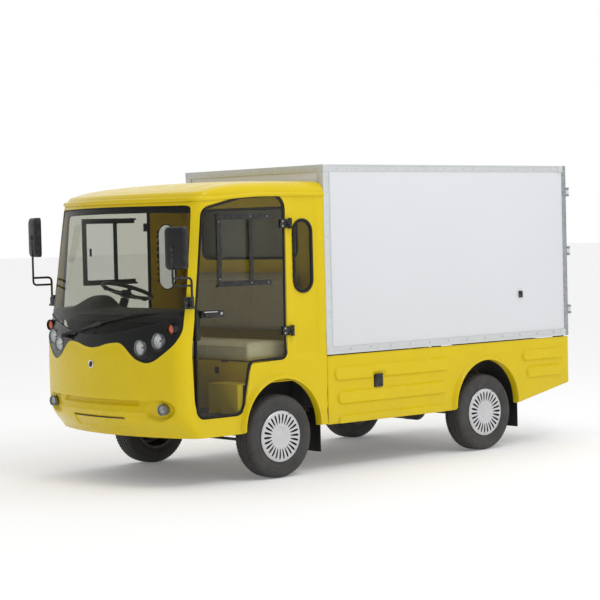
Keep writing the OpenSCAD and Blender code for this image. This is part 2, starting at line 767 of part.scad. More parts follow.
module body_fittings() color(trim_black) {
    both() {
        // Door hinge halves on the pillar
        for (z = hinge_zs) {
            bar_z(z - 36, z + 36, hinge_x, hinge_y, hinge_pin_r);
            for (dz = [-36, 20]) difference() {
                union() {
                    bar_z(z + dz, z + dz + 16, hinge_x, hinge_y, 13);
                    block([half_w + seam, hinge_y + 2, z + dz], [hinge_x, hinge_y + 13, z + dz + 16]);
                }
                bar_z(0, 2000, hinge_x, hinge_y, hinge_pin_r);
            }
            block([half_w + seam, hinge_y + 10, z - 36], [half_w + 8, hinge_y + 27, z + 36]);
        }
        // Mirror brackets, shaped to the shell behind them
        bar_z(bracket_z - 38, bracket_z + 21, 792, bracket_y, hinge_pin_r);
        block([770, bracket_y - 16, bracket_z - 38], [808, bracket_y + 16, bracket_z - 23]);
        difference() {
            block([728, bracket_y - 22, bracket_z - 38], [771, bracket_y + 35, bracket_z + 38]);
            cab_form(-seam);
        }
        // Catches that hold the rear doors open
        block([half_w, 1400, 1110], [half_w + 8, 1436, 1160]);
    }
    // Pedal bracket under the dashboard
    bar_x(-455, -185, pedal_y, pedal_z, pedal_r);
    for (x = [-461, -185]) block([x, pedal_y - 20, pedal_z - 15], [x + 6, pedal_y + 20, 1076]);
    // Backrest brackets on the cab's back wall
    for (x = [-450, 450]) block([x - 20, back_wall_y - 82, 985], [x + 20, back_wall_y - seam, 1025]);
    // Ears and pins that the seat cushion tips on
    for (x = lid_hinge_xs) {
        bar_x(x - 24, x + 24, lid_hinge_y, lid_hinge_z, lid_pin_r);
        for (dx = [-24, 18]) block([x + dx, lid_hinge_y - 7, lid_hinge_z - 7],
            [x + dx + 6, base_y0 - seam, lid_hinge_z + 6]);
    }
    // Switch plate for the drive selector
    block([selector.x - 22, selector.y - 3, selector.z - 22], [selector.x + 22, selector.y, selector.z + 22]);
    bar_y(selector.y - 3, selector.y + 9, selector.x, selector.z, 4);
    // Parking brake quadrant, fixed to the seat base
    block([brake_x - 30, brake_y - 30, floor_z], [brake_x - 12, brake_y + 22, brake_z + 20]);
    bar_x(brake_x - 12, brake_x + 14, brake_y, brake_z, pedal_r);
    // Charging port
    block([half_w, port_y - port_w / 2 - 5, port_z - port_w / 2 - 5],
        [half_w + 2, port_y + port_w / 2 + 5, port_z + port_w / 2 + 5]);
    for (dy = [-port_w / 2, port_w / 2 - 10])
        block([half_w + 2, port_y + dy, port_z + port_w / 2 + 1],
            [half_w + 14, port_y + dy + 10, port_z + port_w / 2 + 14]);
    bar_y(port_y - port_w / 2, port_y + port_w / 2, half_w + 10, port_z + port_w / 2 + 9, 3);
    // Wiper pivot
    wiper_pivot() translate([0, 0, -70]) cylinder(h = 68, r = 14);
    wiper_pivot() translate([0, 0, -3]) cylinder(h = 10, r = 5);
}

// ---------------------------------------------------------------- controls

module pedal(x, pad_w) color(steel_dark) {
    difference() {
        union() {
            bar_x(x - 14, x + 14, pedal_y, pedal_z, 15);
            side_prism([[pedal_y - 9, pedal_z], [pedal_y + 9, pedal_z], [pedal_y + 79, pedal_z - 210],
                [pedal_y + 61, pedal_z - 214]], x - 6, x + 6);
            side_prism([[pedal_y + 56, pedal_z - 265], [pedal_y + 66, pedal_z - 268],
                [pedal_y + 84, pedal_z - 190], [pedal_y + 74, pedal_z - 188]], x - pad_w / 2, x + pad_w / 2);
        }
        bar_x(x - 50, x + 50, pedal_y, pedal_z, pedal_r + fit);
    }
}

module brake_pedal() pedal(pedal_xs[0], 80);

module accelerator_pedal() pedal(pedal_xs[1], 56);

module parking_brake_lever() color(trim_black) difference() {
    union() {
        bar_x(brake_x - 10, brake_x + 10, brake_y, brake_z, 16);
        translate([brake_x, brake_y, brake_z]) rotate([80, 0, 0]) cylinder(h = 150, r = 8);
        translate([brake_x, brake_y, brake_z]) rotate([80, 0, 0]) translate([0, 0, 148])
            cylinder(h = 120, r = 15);
    }
    bar_x(brake_x - 40, brake_x + 40, brake_y, brake_z, pedal_r + fit);
}

// Round drive selector on the dashboard
module selector_knob() color(trim_black) difference() {
    union() {
        bar_y(selector.y + 1, selector.y + 14, selector.x, selector.z, 18);
        block([selector.x - 3, selector.y + 13, selector.z - 16],
            [selector.x + 3, selector.y + 24, selector.z + 16]);
    }
    bar_y(selector.y - 5, selector.y + 10, selector.x, selector.z, 4 + fit);
}

module charge_cap() color(trim_black) {
    block([half_w + 4, port_y - port_w / 2, port_z - port_w / 2],
        [half_w + 12, port_y + port_w / 2, port_z + port_w / 2 - 3]);
    difference() {
        union() {
            bar_y(port_y - 24, port_y + 24, half_w + 10, port_z + port_w / 2 + 9, 6);
            block([half_w + 6, port_y - 24, port_z + port_w / 2 - 6],
                [half_w + 12, port_y + 24, port_z + port_w / 2 + 9]);
        }
        bar_y(port_y - 50, port_y + 50, half_w + 10, port_z + port_w / 2 + 9, 3 + fit);
    }
}

// Wiper plane: parallel to the raked glass, just ahead of it on the centre line
module wiper_pivot() {
    translate([-330, nose_y + (985 - rake_z) * tan(rake) - 2, 985]) rotate([90 - rake, 0, 0]) children();
}

module wiper() color(trim_black) wiper_pivot() rotate([0, 0, 12]) {
    difference() {
        union() {
            cylinder(h = 10, r = 13);
            translate([0, -8, 3]) cube([430, 16, 6]);
        }
        translate([0, 0, -10]) cylinder(h = 18, r = 5 + fit);
    }
    translate([340, -12, 3]) cube([90, 24, 6]);
    translate([300, -6, 0]) cube([520, 12, 8]);
}

// ---------------------------------------------------------------- cargo box

module box_panels() color(box_white) {
    w = half_w - 3;
    z0 = box_z0 + 40;
    z1 = box_z1 - panel_t - 3;
    back = box_y1 - frame_bar - seam;
    inner = w - panel_t - seam;
    front = box_y0 + 3;
    block([-inner, front + panel_t + seam, box_z0], [inner, back, z0]);
    both() block([w - panel_t, front, box_z0], [w, back, z1 - seam]);
    block([-inner, front, box_z0], [inner, front + panel_t, z1 - seam]);
    block([-w, box_y0 + 3, z1], [w, back, z1 + panel_t]);
}

// Aluminium angles along the edges, standing 3 mm proud of the panels
module box_trim() color(silver) {
    lip = 3;
    both() {
        block([half_w - lip, box_y0 - lip, box_z0], [half_w + 1, box_y1 - frame_bar, box_z0 + 52]);
        block([half_w - lip, box_y0 - lip, box_z1 - 48], [half_w, box_y1 - frame_bar, box_z1]);
        block([half_w - 60, box_y0, box_z1 - lip], [half_w - lip, box_y1 - frame_bar, box_z1]);
        block([half_w - lip, box_y0 - lip, box_z0 + 52], [half_w, box_y0 + 62, box_z1 - 48]);
        block([half_w - 60, box_y0 - lip, box_z0 + 40], [half_w - lip, box_y0, box_z1 - 48]);
    }
    block([-(half_w - lip), box_y0 - lip, box_z1 - 48], [half_w - lip, box_y0, box_z1]);
}

module box_rear_frame() color(steel_dark) {
    y0 = box_y1 - frame_bar;
    both() block([half_w - frame_bar, y0, box_z0], [half_w, box_y1, box_z1]);
    for (z = [box_z0, box_z1 - frame_bar])
        block([-(half_w - frame_bar) + seam, y0, z], [half_w - frame_bar - seam, box_y1, z + frame_bar]);
    both() for (z = [box_z0 + 200, box_z0 + 650, box_z1 - 200]) {
        difference() {
            union() {
                for (dz = [-34, 18]) bar_z(z + dz, z + dz + 16, rear_hinge_x, rear_hinge_y, 12);
                block([half_w - 40, box_y1, z - 34], [half_w + 2, box_y1 + 6, z + 34]);
            }
            bar_z(0, 3000, rear_hinge_x, rear_hinge_y, 6);
            block([half_w - 60, box_y1 - 5, z - 18], [half_w + 30, box_y1 + 50, z + 18]);
        }
        bar_z(z - 34, z + 34, rear_hinge_x, rear_hinge_y, 6);
    }
}

module rear_door(side) color(box_white) on_side(side) {
    z0 = box_z0 + frame_bar + 3;
    z1 = box_z1 - frame_bar - 3;
    block([3, box_y1 - rear_door_t, z0], [3 + rear_door_w, box_y1, z1]);
    for (z = [box_z0 + 200, box_z0 + 650, box_z1 - 200]) difference() {
        union() {
            bar_z(z - 16, z + 16, rear_hinge_x, rear_hinge_y, 12);
            block([half_w - 170, box_y1, z - 16], [half_w - 38, box_y1 + 6, z + 16]);
            block([half_w - 40, box_y1 + 2, z - 16], [rear_hinge_x, box_y1 + 10, z + 16]);
        }
        bar_z(0, 3000, rear_hinge_x, rear_hinge_y, 6 + fit);
    }
    for (z = rod_zs) difference() {
        block([rod_x - 20, box_y1, z - 12], [rod_x + 20, rod_y + rod_r + 5, z + 12]);
        bar_z(0, 3000, rod_x, rod_y, rod_r + fit);
    }
}

module lock_rod(side) color(silver) on_side(side) {
    bar_z(box_z0 + 12, box_z1 - 12, rod_x, rod_y, rod_r);
    block([rod_x + 4, tail_y - 10, 1240], [rod_x + 240, tail_y, 1280]);
    block([rod_x - 14, rod_y - 6, 1235], [rod_x + 30, tail_y, 1285]);
}

// ---------------------------------------------------------------- skirts

function stadium(y0, y1, z0, z1) = rect(y0, z0, y1, z1, (z1 - z0) / 2 - 0.5);

module side_skirts() color(cab_yellow) both() difference() {
    union() {
        difference() {
            side_prism([[box_y0, sill_z - 5], [rear_y + arch_r + 40, sill_z - 5],
                [box_y1 - 5, 437], [box_y1 - 5, skirt_z1], [box_y0, skirt_z1]],
                half_w - skirt_t, half_w);
            arch_hole();
        }
        flare(rear_y);
        for (r = [[-505, 640, 615, 710], [-480, 600, 455, 542], [1415, 1895, 630, 712],
            [1465, 1880, 500, 585]])
            side_prism(stadium(r[0], r[1], r[2], r[3]), half_w - 1, half_w + rib_t);
        side_prism([[-470, sill_z], [580, sill_z], [580, 374], [-470, 374]], half_w - 1, half_w + rib_t);
        // Inner return along the top edge
        block([half_w - 40, box_y0, skirt_z1 - 5], [half_w, box_y1 - 5, skirt_z1]);
    }
    block([half_w, port_y - port_w / 2 - 8, port_z - port_w / 2 - 8],
        [half_w + 20, port_y + port_w / 2 + 8, port_z + port_w / 2 + 18]);
}

// ---------------------------------------------------------------- nodes

chassis_frame();
front_axle();
rear_axle();
suspension();
battery_pack();
cab_floor();
cab_front();
cab_sides();
cab_roof();
cab_back();
fixed_glass();
window_seals();
lamp_mask();
lamps();
dashboard();
steering_column();
seat_base();
seat_backrest();
box_panels();
box_trim();
box_rear_frame();
side_skirts();
mud_flaps();
body_fittings();
knuckle(1);  // knuckle_l
knuckle(-1);  // knuckle_r
tie_rod();
tyre(1, front_y);  // tyre_fl
tyre(-1, front_y);  // tyre_fr
tyre(1, rear_y);  // tyre_rl
tyre(-1, rear_y);  // tyre_rr
rim(1, front_y);  // rim_fl
rim(-1, front_y);  // rim_fr
rim(1, rear_y);  // rim_rl
rim(-1, rear_y);  // rim_rr
steering_wheel();
horn_button();
door_glass(1);  // door_glass_l
door_glass(-1);  // door_glass_r
door_frame(1);  // door_frame_l
door_frame(-1);  // door_frame_r
sliding_pane(1);  // sliding_pane_l
sliding_pane(-1);  // sliding_pane_r
door_handle(1);  // door_handle_l
door_handle(-1);  // door_handle_r
rear_door(1);  // rear_door_l
rear_door(-1);  // rear_door_r
lock_rod(1);  // lock_rod_l
lock_rod(-1);  // lock_rod_r
wiper();
mirror_arm(1);  // mirror_arm_l
mirror_arm(-1);  // mirror_arm_r
mirror_head(1);  // mirror_head_l
mirror_head(-1);  // mirror_head_r
brake_pedal();
accelerator_pedal();
parking_brake_lever();
charge_cap();
selector_knob();
seat_cushion();
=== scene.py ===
"""Looks of the small electric mail truck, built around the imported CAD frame. Metres, row frame."""

import json
from math import acos, asin, ceil, copysign, cos, exp, hypot, pi, radians, sin, sqrt, tan

import bmesh
import bpy
from mathutils import Matrix, Vector
from mathutils.bvhtree import BVHTree
from mathutils.geometry import delaunay_2d_cdt
from mathutils.kdtree import KDTree


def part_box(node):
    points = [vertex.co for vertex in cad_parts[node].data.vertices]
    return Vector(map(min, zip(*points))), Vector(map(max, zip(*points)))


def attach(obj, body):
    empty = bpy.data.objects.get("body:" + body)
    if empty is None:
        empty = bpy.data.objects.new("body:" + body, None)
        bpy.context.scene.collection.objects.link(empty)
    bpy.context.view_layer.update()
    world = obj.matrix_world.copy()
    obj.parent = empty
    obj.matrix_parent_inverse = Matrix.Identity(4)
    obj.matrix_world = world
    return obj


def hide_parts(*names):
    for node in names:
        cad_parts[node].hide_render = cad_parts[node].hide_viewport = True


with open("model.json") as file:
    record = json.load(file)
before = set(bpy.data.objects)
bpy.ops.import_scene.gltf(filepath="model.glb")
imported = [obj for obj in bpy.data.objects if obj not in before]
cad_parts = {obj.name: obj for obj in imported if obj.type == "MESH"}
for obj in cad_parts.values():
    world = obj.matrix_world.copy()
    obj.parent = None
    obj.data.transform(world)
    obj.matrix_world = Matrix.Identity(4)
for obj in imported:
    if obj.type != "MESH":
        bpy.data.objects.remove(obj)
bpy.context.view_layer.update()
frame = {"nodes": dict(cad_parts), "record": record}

# ------------------------------------------------------------------ stations from the frame

MM = 0.001
ACROSS = Vector((1, 0, 0))
SIDES = ((1, "l"), (-1, "r"))       # the truck's left is +X
SEAL_STEP = 0.02                    # point spacing along rubber seals and piping
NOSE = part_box("cab_front")[0].y
HALF_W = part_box("door_glass_l")[1].x + 2 * MM
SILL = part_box("cab_front")[0].z
BACK_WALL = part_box("cab_back")[0].y
CAB_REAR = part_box("cab_roof")[1].y
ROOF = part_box("cab_roof")[1].z
AXLES = {}
for corner in ("fl", "fr", "rl", "rr"):
    low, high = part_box("tyre_" + corner)
    AXLES[corner] = (low + high) / 2
TYRE_R = (high.z - low.z) / 2
FRONT_Y = AXLES["fl"].y
REAR_Y = AXLES["rl"].y
BOX_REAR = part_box("box_panels")[1].y
TRIM_LO, TRIM_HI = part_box("box_trim")
REAR_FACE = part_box("box_rear_frame")[1].y
SKIRT_LO, SKIRT_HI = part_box("side_skirts")


def centre(node):
    low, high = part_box(node)
    return (low + high) / 2


def body_of(node):
    return next(b for b, members in frame["record"]["behaviour"]["bodies"].items() if node in members)


# ------------------------------------------------------------------ small maths

def mm(*points):
    """Points given in millimetres, as metres."""
    return [tuple(round(c * MM, 7) for c in point) for point in points]


def mix(a, b, t):
    return a + (b - a) * t


def step(a, b, x):
    t = min(max((x - a) / (b - a), 0), 1)
    return t * t * (3 - 2 * t)


def ramp(d, w):
    """Zero below 0 and d above it, with a round knee of half width w."""
    return 0 if d < -w else d if d > w else (d + w) ** 2 / (4 * w)


def smin(a, b, k):
    h = max(k - abs(a - b), 0) / k
    return min(a, b) - h * h * k / 4


def rounded(corners, n=5):
    """Outline with each (u, v, radius) corner rounded."""
    out = []
    m = len(corners)
    for i, (u, v, r) in enumerate(corners):
        p = Vector((u, v))
        a = (Vector(corners[i - 1][:2]) - p).normalized()
        b = (Vector(corners[(i + 1) % m][:2]) - p).normalized()
        if r == 0:
            out.append((u, v))
            continue
        half = acos(max(-1, min(1, a.dot(b)))) / 2
        c = p + (a + b).normalized() * r / sin(half)
        s = p + a * r / tan(half) - c
        e = p + b * r / tan(half) - c
        turn = copysign(pi - 2 * half, s.x * e.y - s.y * e.x)
        for k in range(n + 1):
            t = turn * k / n
            out.append((c.x + s.x * cos(t) - s.y * sin(t), c.y + s.x * sin(t) + s.y * cos(t)))
    return out


def rect(u0, v0, u1, v1, r, n=5):
    return rounded([(u0, v0, r), (u1, v0, r), (u1, v1, r), (u0, v1, r)], n)


def offset(points, d):
    """A closed outline moved outwards by d (it runs anticlockwise)."""
    out = []
    m = len(points)
    for i, p in enumerate(points):
        a = Vector(points[i - 1])
        b = Vector(points[(i + 1) % m])
        t = (b - a).normalized()
        out.append((p[0] + t.y * d, p[1] - t.x * d))
    return out


def clockwise(points):
    return sum(a[0] * b[1] - b[0] * a[1] for a, b in zip(points, points[1:] + points[:1])) < 0


def circle(u, v, r, n=32):
    return [(u + r * cos(2 * pi * i / n), v + r * sin(2 * pi * i / n)) for i in range(n)]


def spline(points, n=6):
    """Catmull-Rom curve through open points."""
    p = [Vector(q) for q in points]
    p = [2 * p[0] - p[1]] + p + [2 * p[-1] - p[-2]]
    out = []
    for i in range(1, len(p) - 2):
        for k in range(n):
            t = k / n
            out.append(tuple(0.5 * (2 * p[i] + (p[i + 1] - p[i - 1]) * t
                + (2 * p[i - 1] - 5 * p[i] + 4 * p[i + 1] - p[i + 2]) * t * t
                + (3 * p[i] - p[i - 1] - 3 * p[i + 1] + p[i + 2]) * t ** 3)))
    return out + [tuple(p[-2])]


def dense(points, h, closed=True):
    out = []
    ends = points[1:] + (points[:1] if closed else [])
    for a, b in zip(points, ends):
        n = max(1, ceil(hypot(b[0] - a[0], b[1] - a[1]) / h))
        out += [(mix(a[0], b[0], k / n), mix(a[1], b[1], k / n)) for k in range(n)]
    return out if closed else out + [tuple(points[-1])]


def inside(p, poly):
    x, y = p
    hit = False
    for (x0, y0), (x1, y1) in zip(poly, poly[1:] + poly[:1]):
        if (y0 > y) != (y1 > y) and x < (x1 - x0) * (y - y0) / (y1 - y0) + x0:
            hit = not hit
    return hit


# ------------------------------------------------------------------ mesh makers

def add_object(name, mesh, material, body):
    """A smooth mesh in one material, riding on a body."""
    obj = bpy.data.objects.new(name, mesh)
    bpy.context.scene.collection.objects.link(obj)
    mesh.materials.clear()
    mesh.materials.append(material)
    mesh.shade_smooth()
    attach(obj, body)
    return obj


def new_object(name, verts, faces, material, body):
    mesh = bpy.data.meshes.new(name)
    mesh.from_pydata([tuple(v) for v in verts], [], [tuple(f) for f in faces])
    mesh.validate()
    return add_object(name, mesh, material, body)


def strip(rows, n, loop=False, turned=False, last=None):
    """Quads between rows of n points; loop joins the last row to the first."""
    quads = []
    for i in range(rows if loop else rows - 1):
        j = (i + 1) % rows
        for k in range(n if last is None else last):
            m = (k + 1) % n
            a, b, c, d = i * n + k, i * n + m, j * n + m, j * n + k
            quads.append((a, d, c, b) if turned else (a, b, c, d))
    return quads


def modifier(obj, kind, **settings):
    made = obj.modifiers.new(kind.lower(), kind)
    for key, value in settings.items():
        setattr(made, key, value)
    return made


def evaluated(obj):
    """The object's mesh with its modifiers applied."""
    return bpy.data.meshes.new_from_object(obj.evaluated_get(bpy.context.evaluated_depsgraph_get()))


def at(x, y, z, degrees=0, axis="X"):
    return Matrix.Translation((x, y, z)) @ Matrix.Rotation(radians(degrees), 4, axis)


TRIANGLE_ROW = 0.866                # height of an even triangle over its side


def panel(name, outline, holes, place, material, body, h=0.014, thick=0.0, fine=(), rim=0.0, lines=()):
    """A curved skin: the outline and holes in (u, v), mapped by place(u, v, distance to the edge).
    fine holds (u0, v0, u1, v1, spacing) patches with a closer grid, lines the loops that a fold follows."""
    loops = [dense(outline, h)] + [dense(hole, h) for hole in holes]
    verts, edges = [], []
    for loop in loops:
        base = len(verts)
        verts += loop
        edges += [(base + i, base + (i + 1) % len(loop)) for i in range(len(loop))]
    edge_tree = KDTree(len(verts))
    for i, p in enumerate(verts):
        edge_tree.insert((p[0], p[1], 0), i)
    edge_tree.balance()
    folds = [p for line in lines for p in dense(line, h * 0.8)
             if inside(p, outline) and edge_tree.find((p[0], p[1], 0))[2] > 0.3 * h]
    fold_tree = KDTree(max(1, len(folds)))
    for i, p in enumerate(folds):
        fold_tree.insert((p[0], p[1], 0), i)
    fold_tree.balance()
    verts += folds
    us, vs = [p[0] for p in outline], [p[1] for p in outline]
    patches = [(min(us), min(vs), max(us), max(vs), h)] + list(fine)
    tests = [outline] + list(holes)
    for index, (u0, v0, u1, v1, g) in enumerate(patches):
        rows = int((v1 - v0) / (g * TRIANGLE_ROW)) + 1
        for j in range(rows):
            v = v0 + (j + 0.5) * (v1 - v0) / rows
            cols = int((u1 - u0) / g) + 1
            for i in range(cols):
                u = u0 + (i + 0.5 * (j % 2) + 0.25) * (u1 - u0) / cols
                if index == 0 and any(a <= u <= c and b <= v <= d for a, b, c, d, _ in fine):
                    continue
                if edge_tree.find((u, v, 0))[2] < 0.55 * g:
                    continue
                if folds and fold_tree.find((u, v, 0))[2] < 0.45 * g:
                    continue
                if inside((u, v), tests[0]) and not any(inside((u, v), t) for t in tests[1:]):
                    verts.append((u, v))
    pts, _, tris, _, _, _ = delaunay_2d_cdt([Vector(p) for p in verts], edges, [], 0, 1e-6)
    keep = []
    for tri in tris:
        c = sum((pts[i] for i in tri), Vector((0, 0))) / 3
        if inside(c, loops[0]) and not any(inside(c, t) for t in loops[1:]):
            keep.append(tri)
    placed = [place(p.x, p.y, edge_tree.find((p.x, p.y, 0))[2]) for p in pts]
    obj = new_object(name, placed, keep, material, body)
    if thick:
        modifier(obj, "SOLIDIFY", thickness=thick, offset=-1, use_rim=True)
        if rim:
            modifier(obj, "BEVEL", width=rim, segments=2, limit_method="ANGLE", angle_limit=radians(50))
        obj.data.shade_smooth()
        split_edges(obj, 50)
    return obj


def split_edges(obj, degrees):
    """Smooth shading with crisp corners."""
    modifier(obj, "EDGE_SPLIT", split_angle=radians(degrees), use_edge_sharp=False)


def lathe(name, profile, place, material, body, steps=64, closed=False, smooth_angle=35):
    """Profile of (radius, height) turned about place's Z axis."""
    n = len(profile)
    verts = []
    for i in range(steps):
        a = 2 * pi * i / steps
        verts += [place @ Vector((r * cos(a), r * sin(a), h)) for r, h in profile]
    obj = new_object(name, verts, strip(steps, n, True, True, n if closed else n - 1), material, body)
    clean(obj)
    if smooth_angle:
        split_edges(obj, smooth_angle)
    return obj


def clean(obj, merge=1e-5):
    bm = bmesh.new()
    bm.from_mesh(obj.data)
    bmesh.ops.remove_doubles(bm, verts=bm.verts, dist=merge)
    bmesh.ops.dissolve_degenerate(bm, dist=1e-6, edges=bm.edges)
    bmesh.ops.recalc_face_normals(bm, faces=bm.faces)
    bm.to_mesh(obj.data)
    bm.free()


def sweep(name, path, section, material, body, closed=False, up=Vector((0, 0, 1))):
    """A closed section (across, up) carried along a 3-D path."""
    path = [Vector(p) for p in path]
    n, m = len(path), len(section)
    verts = []
    for i, p in enumerate(path):
        a = path[i - 1] if closed or i else path[i]
        b = path[(i + 1) % n] if closed or i < n - 1 else path[i]
        t = (b - a).normalized()
        side = t.cross(up).normalized()
        top = side.cross(t).normalized()
        verts += [p + side * u + top * v for u, v in section]
    faces = strip(n, m, closed)
    if not closed:
        faces.append(tuple(range(m)))
        faces.append(tuple(reversed(range((n - 1) * m, n * m))))
    obj = new_object(name, verts, faces, material, body)
    clean(obj)
    split_edges(obj, 40)
    return obj


def tube(name, path, radius, material, body, closed=False, steps=12):
    up = Vector((0.13, 0.31, 0.94)).normalized()
    ring = [(radius * cos(2 * pi * k / steps), radius * sin(2 * pi * k / steps)) for k in range(steps)]
    return sweep(name, path, ring, material, body, closed, up)


def to_mesh(bm, name):
    mesh = bpy.data.meshes.new(name)
    bm.to_mesh(mesh)
    bm.free()
    return mesh


def cuboids(boxes):
    """A bmesh of boxes, each given as (low corner, high corner)."""
    bm = bmesh.new()
    for low, high in boxes:
        low, high = Vector(low), Vector(high)
        for v in bmesh.ops.create_cube(bm, size=1)["verts"]:
            v.co = v.co * (high - low) + (low + high) / 2
    return bm


def blocks(name, boxes, material, body, bevel=0.002, segments=2):
    """Separate bars with rounded edges: each is (low corner, high corner)."""
    bm = cuboids(boxes)
    obj = add_object(name, to_mesh(bm, name), material, body)
    modifier(obj, "BEVEL", width=bevel, segments=segments, limit_method="ANGLE")
    split_edges(obj, 40)
    return obj


def domes(name, spots, radius, height, material, body, steps=10):
    """Rivet or bolt heads: spots are (position, outward direction)."""
    verts, faces = [], []
    for pos, out in spots:
        out = Vector(out).normalized()
        u = out.orthogonal().normalized()
        v = out.cross(u)
        base = len(verts)
        rings = [(1.0, 0), (0.92, 0.45), (0.6, 0.85)]
        for r, hh in rings:
            for k in range(steps):
                a = 2 * pi * k / steps
                verts.append(Vector(pos) + (u * cos(a) + v * sin(a)) * r * radius + out * height * hh)
        verts.append(Vector(pos) + out * height)
        top = len(verts) - 1
        for ring in range(len(rings) - 1):
            for k in range(steps):
                a, b = base + ring * steps + k, base + ring * steps + (k + 1) % steps
                faces.append((a, b, b + steps, a + steps))
        last = base + (len(rings) - 1) * steps
        faces += [(last + k, last + (k + 1) % steps, top) for k in range(steps)]
        faces.append(tuple(base + k for k in reversed(range(steps))))
    return new_object(name, verts, faces, material, body)


def refine(node, material, bevel):
    """A cleaned copy of a CAD node with joined vertices, rounded edges and smooth curved faces."""
    mesh = frame["nodes"][node].data.copy()
    bm = bmesh.new()
    bm.from_mesh(mesh)
    bmesh.ops.remove_doubles(bm, verts=bm.verts, dist=2e-5)
    bmesh.ops.dissolve_limit(bm, angle_limit=radians(1.5), verts=bm.verts, edges=bm.edges)
    bmesh.ops.recalc_face_normals(bm, faces=bm.faces)
    bm.to_mesh(mesh)
    bm.free()
    obj = add_object(node + "_finish", mesh, material, body_of(node))
    modifier(obj, "BEVEL", width=bevel, segments=2, limit_method="ANGLE", angle_limit=radians(38))
    split_edges(obj, 35)
    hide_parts(node)
    return obj


# ------------------------------------------------------------------ materials

def add_node(tree, kind, inputs, out=0, **settings):
    """One output of a new shader node whose inputs are set or linked."""
    made = tree.nodes.new("ShaderNode" + kind)
    for key, value in settings.items():
        setattr(made, key, value)
    for key, value in inputs.items():
        if isinstance(value, bpy.types.NodeSocket):
            tree.links.new(value, made.inputs[key])
        else:
            made.inputs[key].default_value = value
    return made.outputs[out]


def calc(tree, operation, *values):
    return add_node(tree, "Math", dict(enumerate(values)), operation=operation)


def remap(tree, value, *ends):
    keys = ("From Min", "From Max", "To Min", "To Max")
    return add_node(tree, "MapRange", {"Value": value, **dict(zip(keys, ends))}, "Result")


def new_material(name):
    mat = bpy.data.materials.new(name)
    mat.use_nodes = True
    return mat, mat.node_tree


MUD = (0.20, 0.17, 0.13)


def material(name, colour, rough=0.5, metal=0.0, coat=0.0, vary=0.06, rough_vary=0.08, scale=9.0,
             bump=0.0, grain=300.0, dirt=0.0, edge=0.0015, wear=None, shine=0.5):
    """Painted, moulded or metal surface: uneven colour and gloss, fine grain, road dirt low down,
    rounded edges, and worn edges where wear gives a colour."""
    mat, tree = new_material(name)
    shader = tree.nodes["Principled BSDF"].inputs
    for key, value in (("Metallic", metal), ("Coat Weight", coat), ("Specular IOR Level", shine),
                       ("Coat Roughness", 0.08)):
        shader[key].default_value = value
    where = add_node(tree, "TexCoord", {}, "Object")

    def noise_at(size, detail):
        return add_node(tree, "TexNoise", {"Scale": size, "Detail": detail, "Vector": where}, "Fac")

    def patches(size, detail, low, high, *ends):
        return remap(tree, noise_at(size, detail), low, high, *(ends or (0, 1)))

    def blend(factor, a, b):
        a, b = ((*c, 1) if isinstance(c, (tuple, list)) else c for c in (a, b))
        return add_node(tree, "Mix", {0: factor, 6: a, 7: b}, 2, data_type="RGBA")

    shade = blend(patches(scale, 6, 0.3, 0.7), [c * (1 - vary) for c in colour],
                  [min(1, c * (1 + vary)) for c in colour])
    if wear:
        curve = add_node(tree, "NewGeometry", {}, "Pointiness")
        rub = calc(tree, "MULTIPLY", remap(tree, curve, 0.52, 0.60, 0, 0.8), patches(45, 4, 0.45, 0.6))
        shade = blend(rub, shade, wear)
    if dirt:
        height = add_node(tree, "SeparateXYZ", {0: where}, "Z")
        low = calc(tree, "MULTIPLY", remap(tree, height, 0.15, 0.75, dirt, 0), patches(6, 8, 0.35, 0.75))
        shade = blend(low, shade, MUD)
    tree.links.new(shade, shader["Base Color"])
    tree.links.new(patches(scale * 2.3, 5, 0.3, 0.7, max(0.02, rough - rough_vary), rough + rough_vary),
                   shader["Roughness"])
    normal = add_node(tree, "Bevel", {"Radius": edge}, samples=4) if edge else None
    if bump:
        relief = {"Strength": bump, "Distance": 0.001, "Height": noise_at(grain, 3)}
        if normal:
            relief["Normal"] = normal
        normal = add_node(tree, "Bump", relief)
    if normal:
        tree.links.new(normal, shader["Normal"])
    return mat


def clear(name, tint, share=1.0, rough=0.02):
    """A thin pane: what is behind it, tinted, under a clear reflection that grows towards grazing."""
    mat, tree = new_material(name)
    tree.nodes.remove(tree.nodes["Principled BSDF"])
    film = add_node(tree, "TexNoise", {"Scale": 1.5}, "Fac")
    spread = add_node(tree, "MapRange", {"Value": film, "To Min": 0.55 * share, "To Max": 0.65 * share})
    facing = add_node(tree, "LayerWeight", {"Blend": 0.5}, "Facing")
    amount = calc(tree, "MULTIPLY_ADD", calc(tree, "POWER", facing, 4.5), spread, 0.025 * share)
    see = add_node(tree, "BsdfTransparent", {"Color": (*tint, 1)})
    shine = add_node(tree, "BsdfGlossy", {"Roughness": rough})
    join = add_node(tree, "MixShader", {0: amount, 1: see, 2: shine})
    tree.links.new(join, tree.nodes["Material Output"].inputs["Surface"])
    return mat


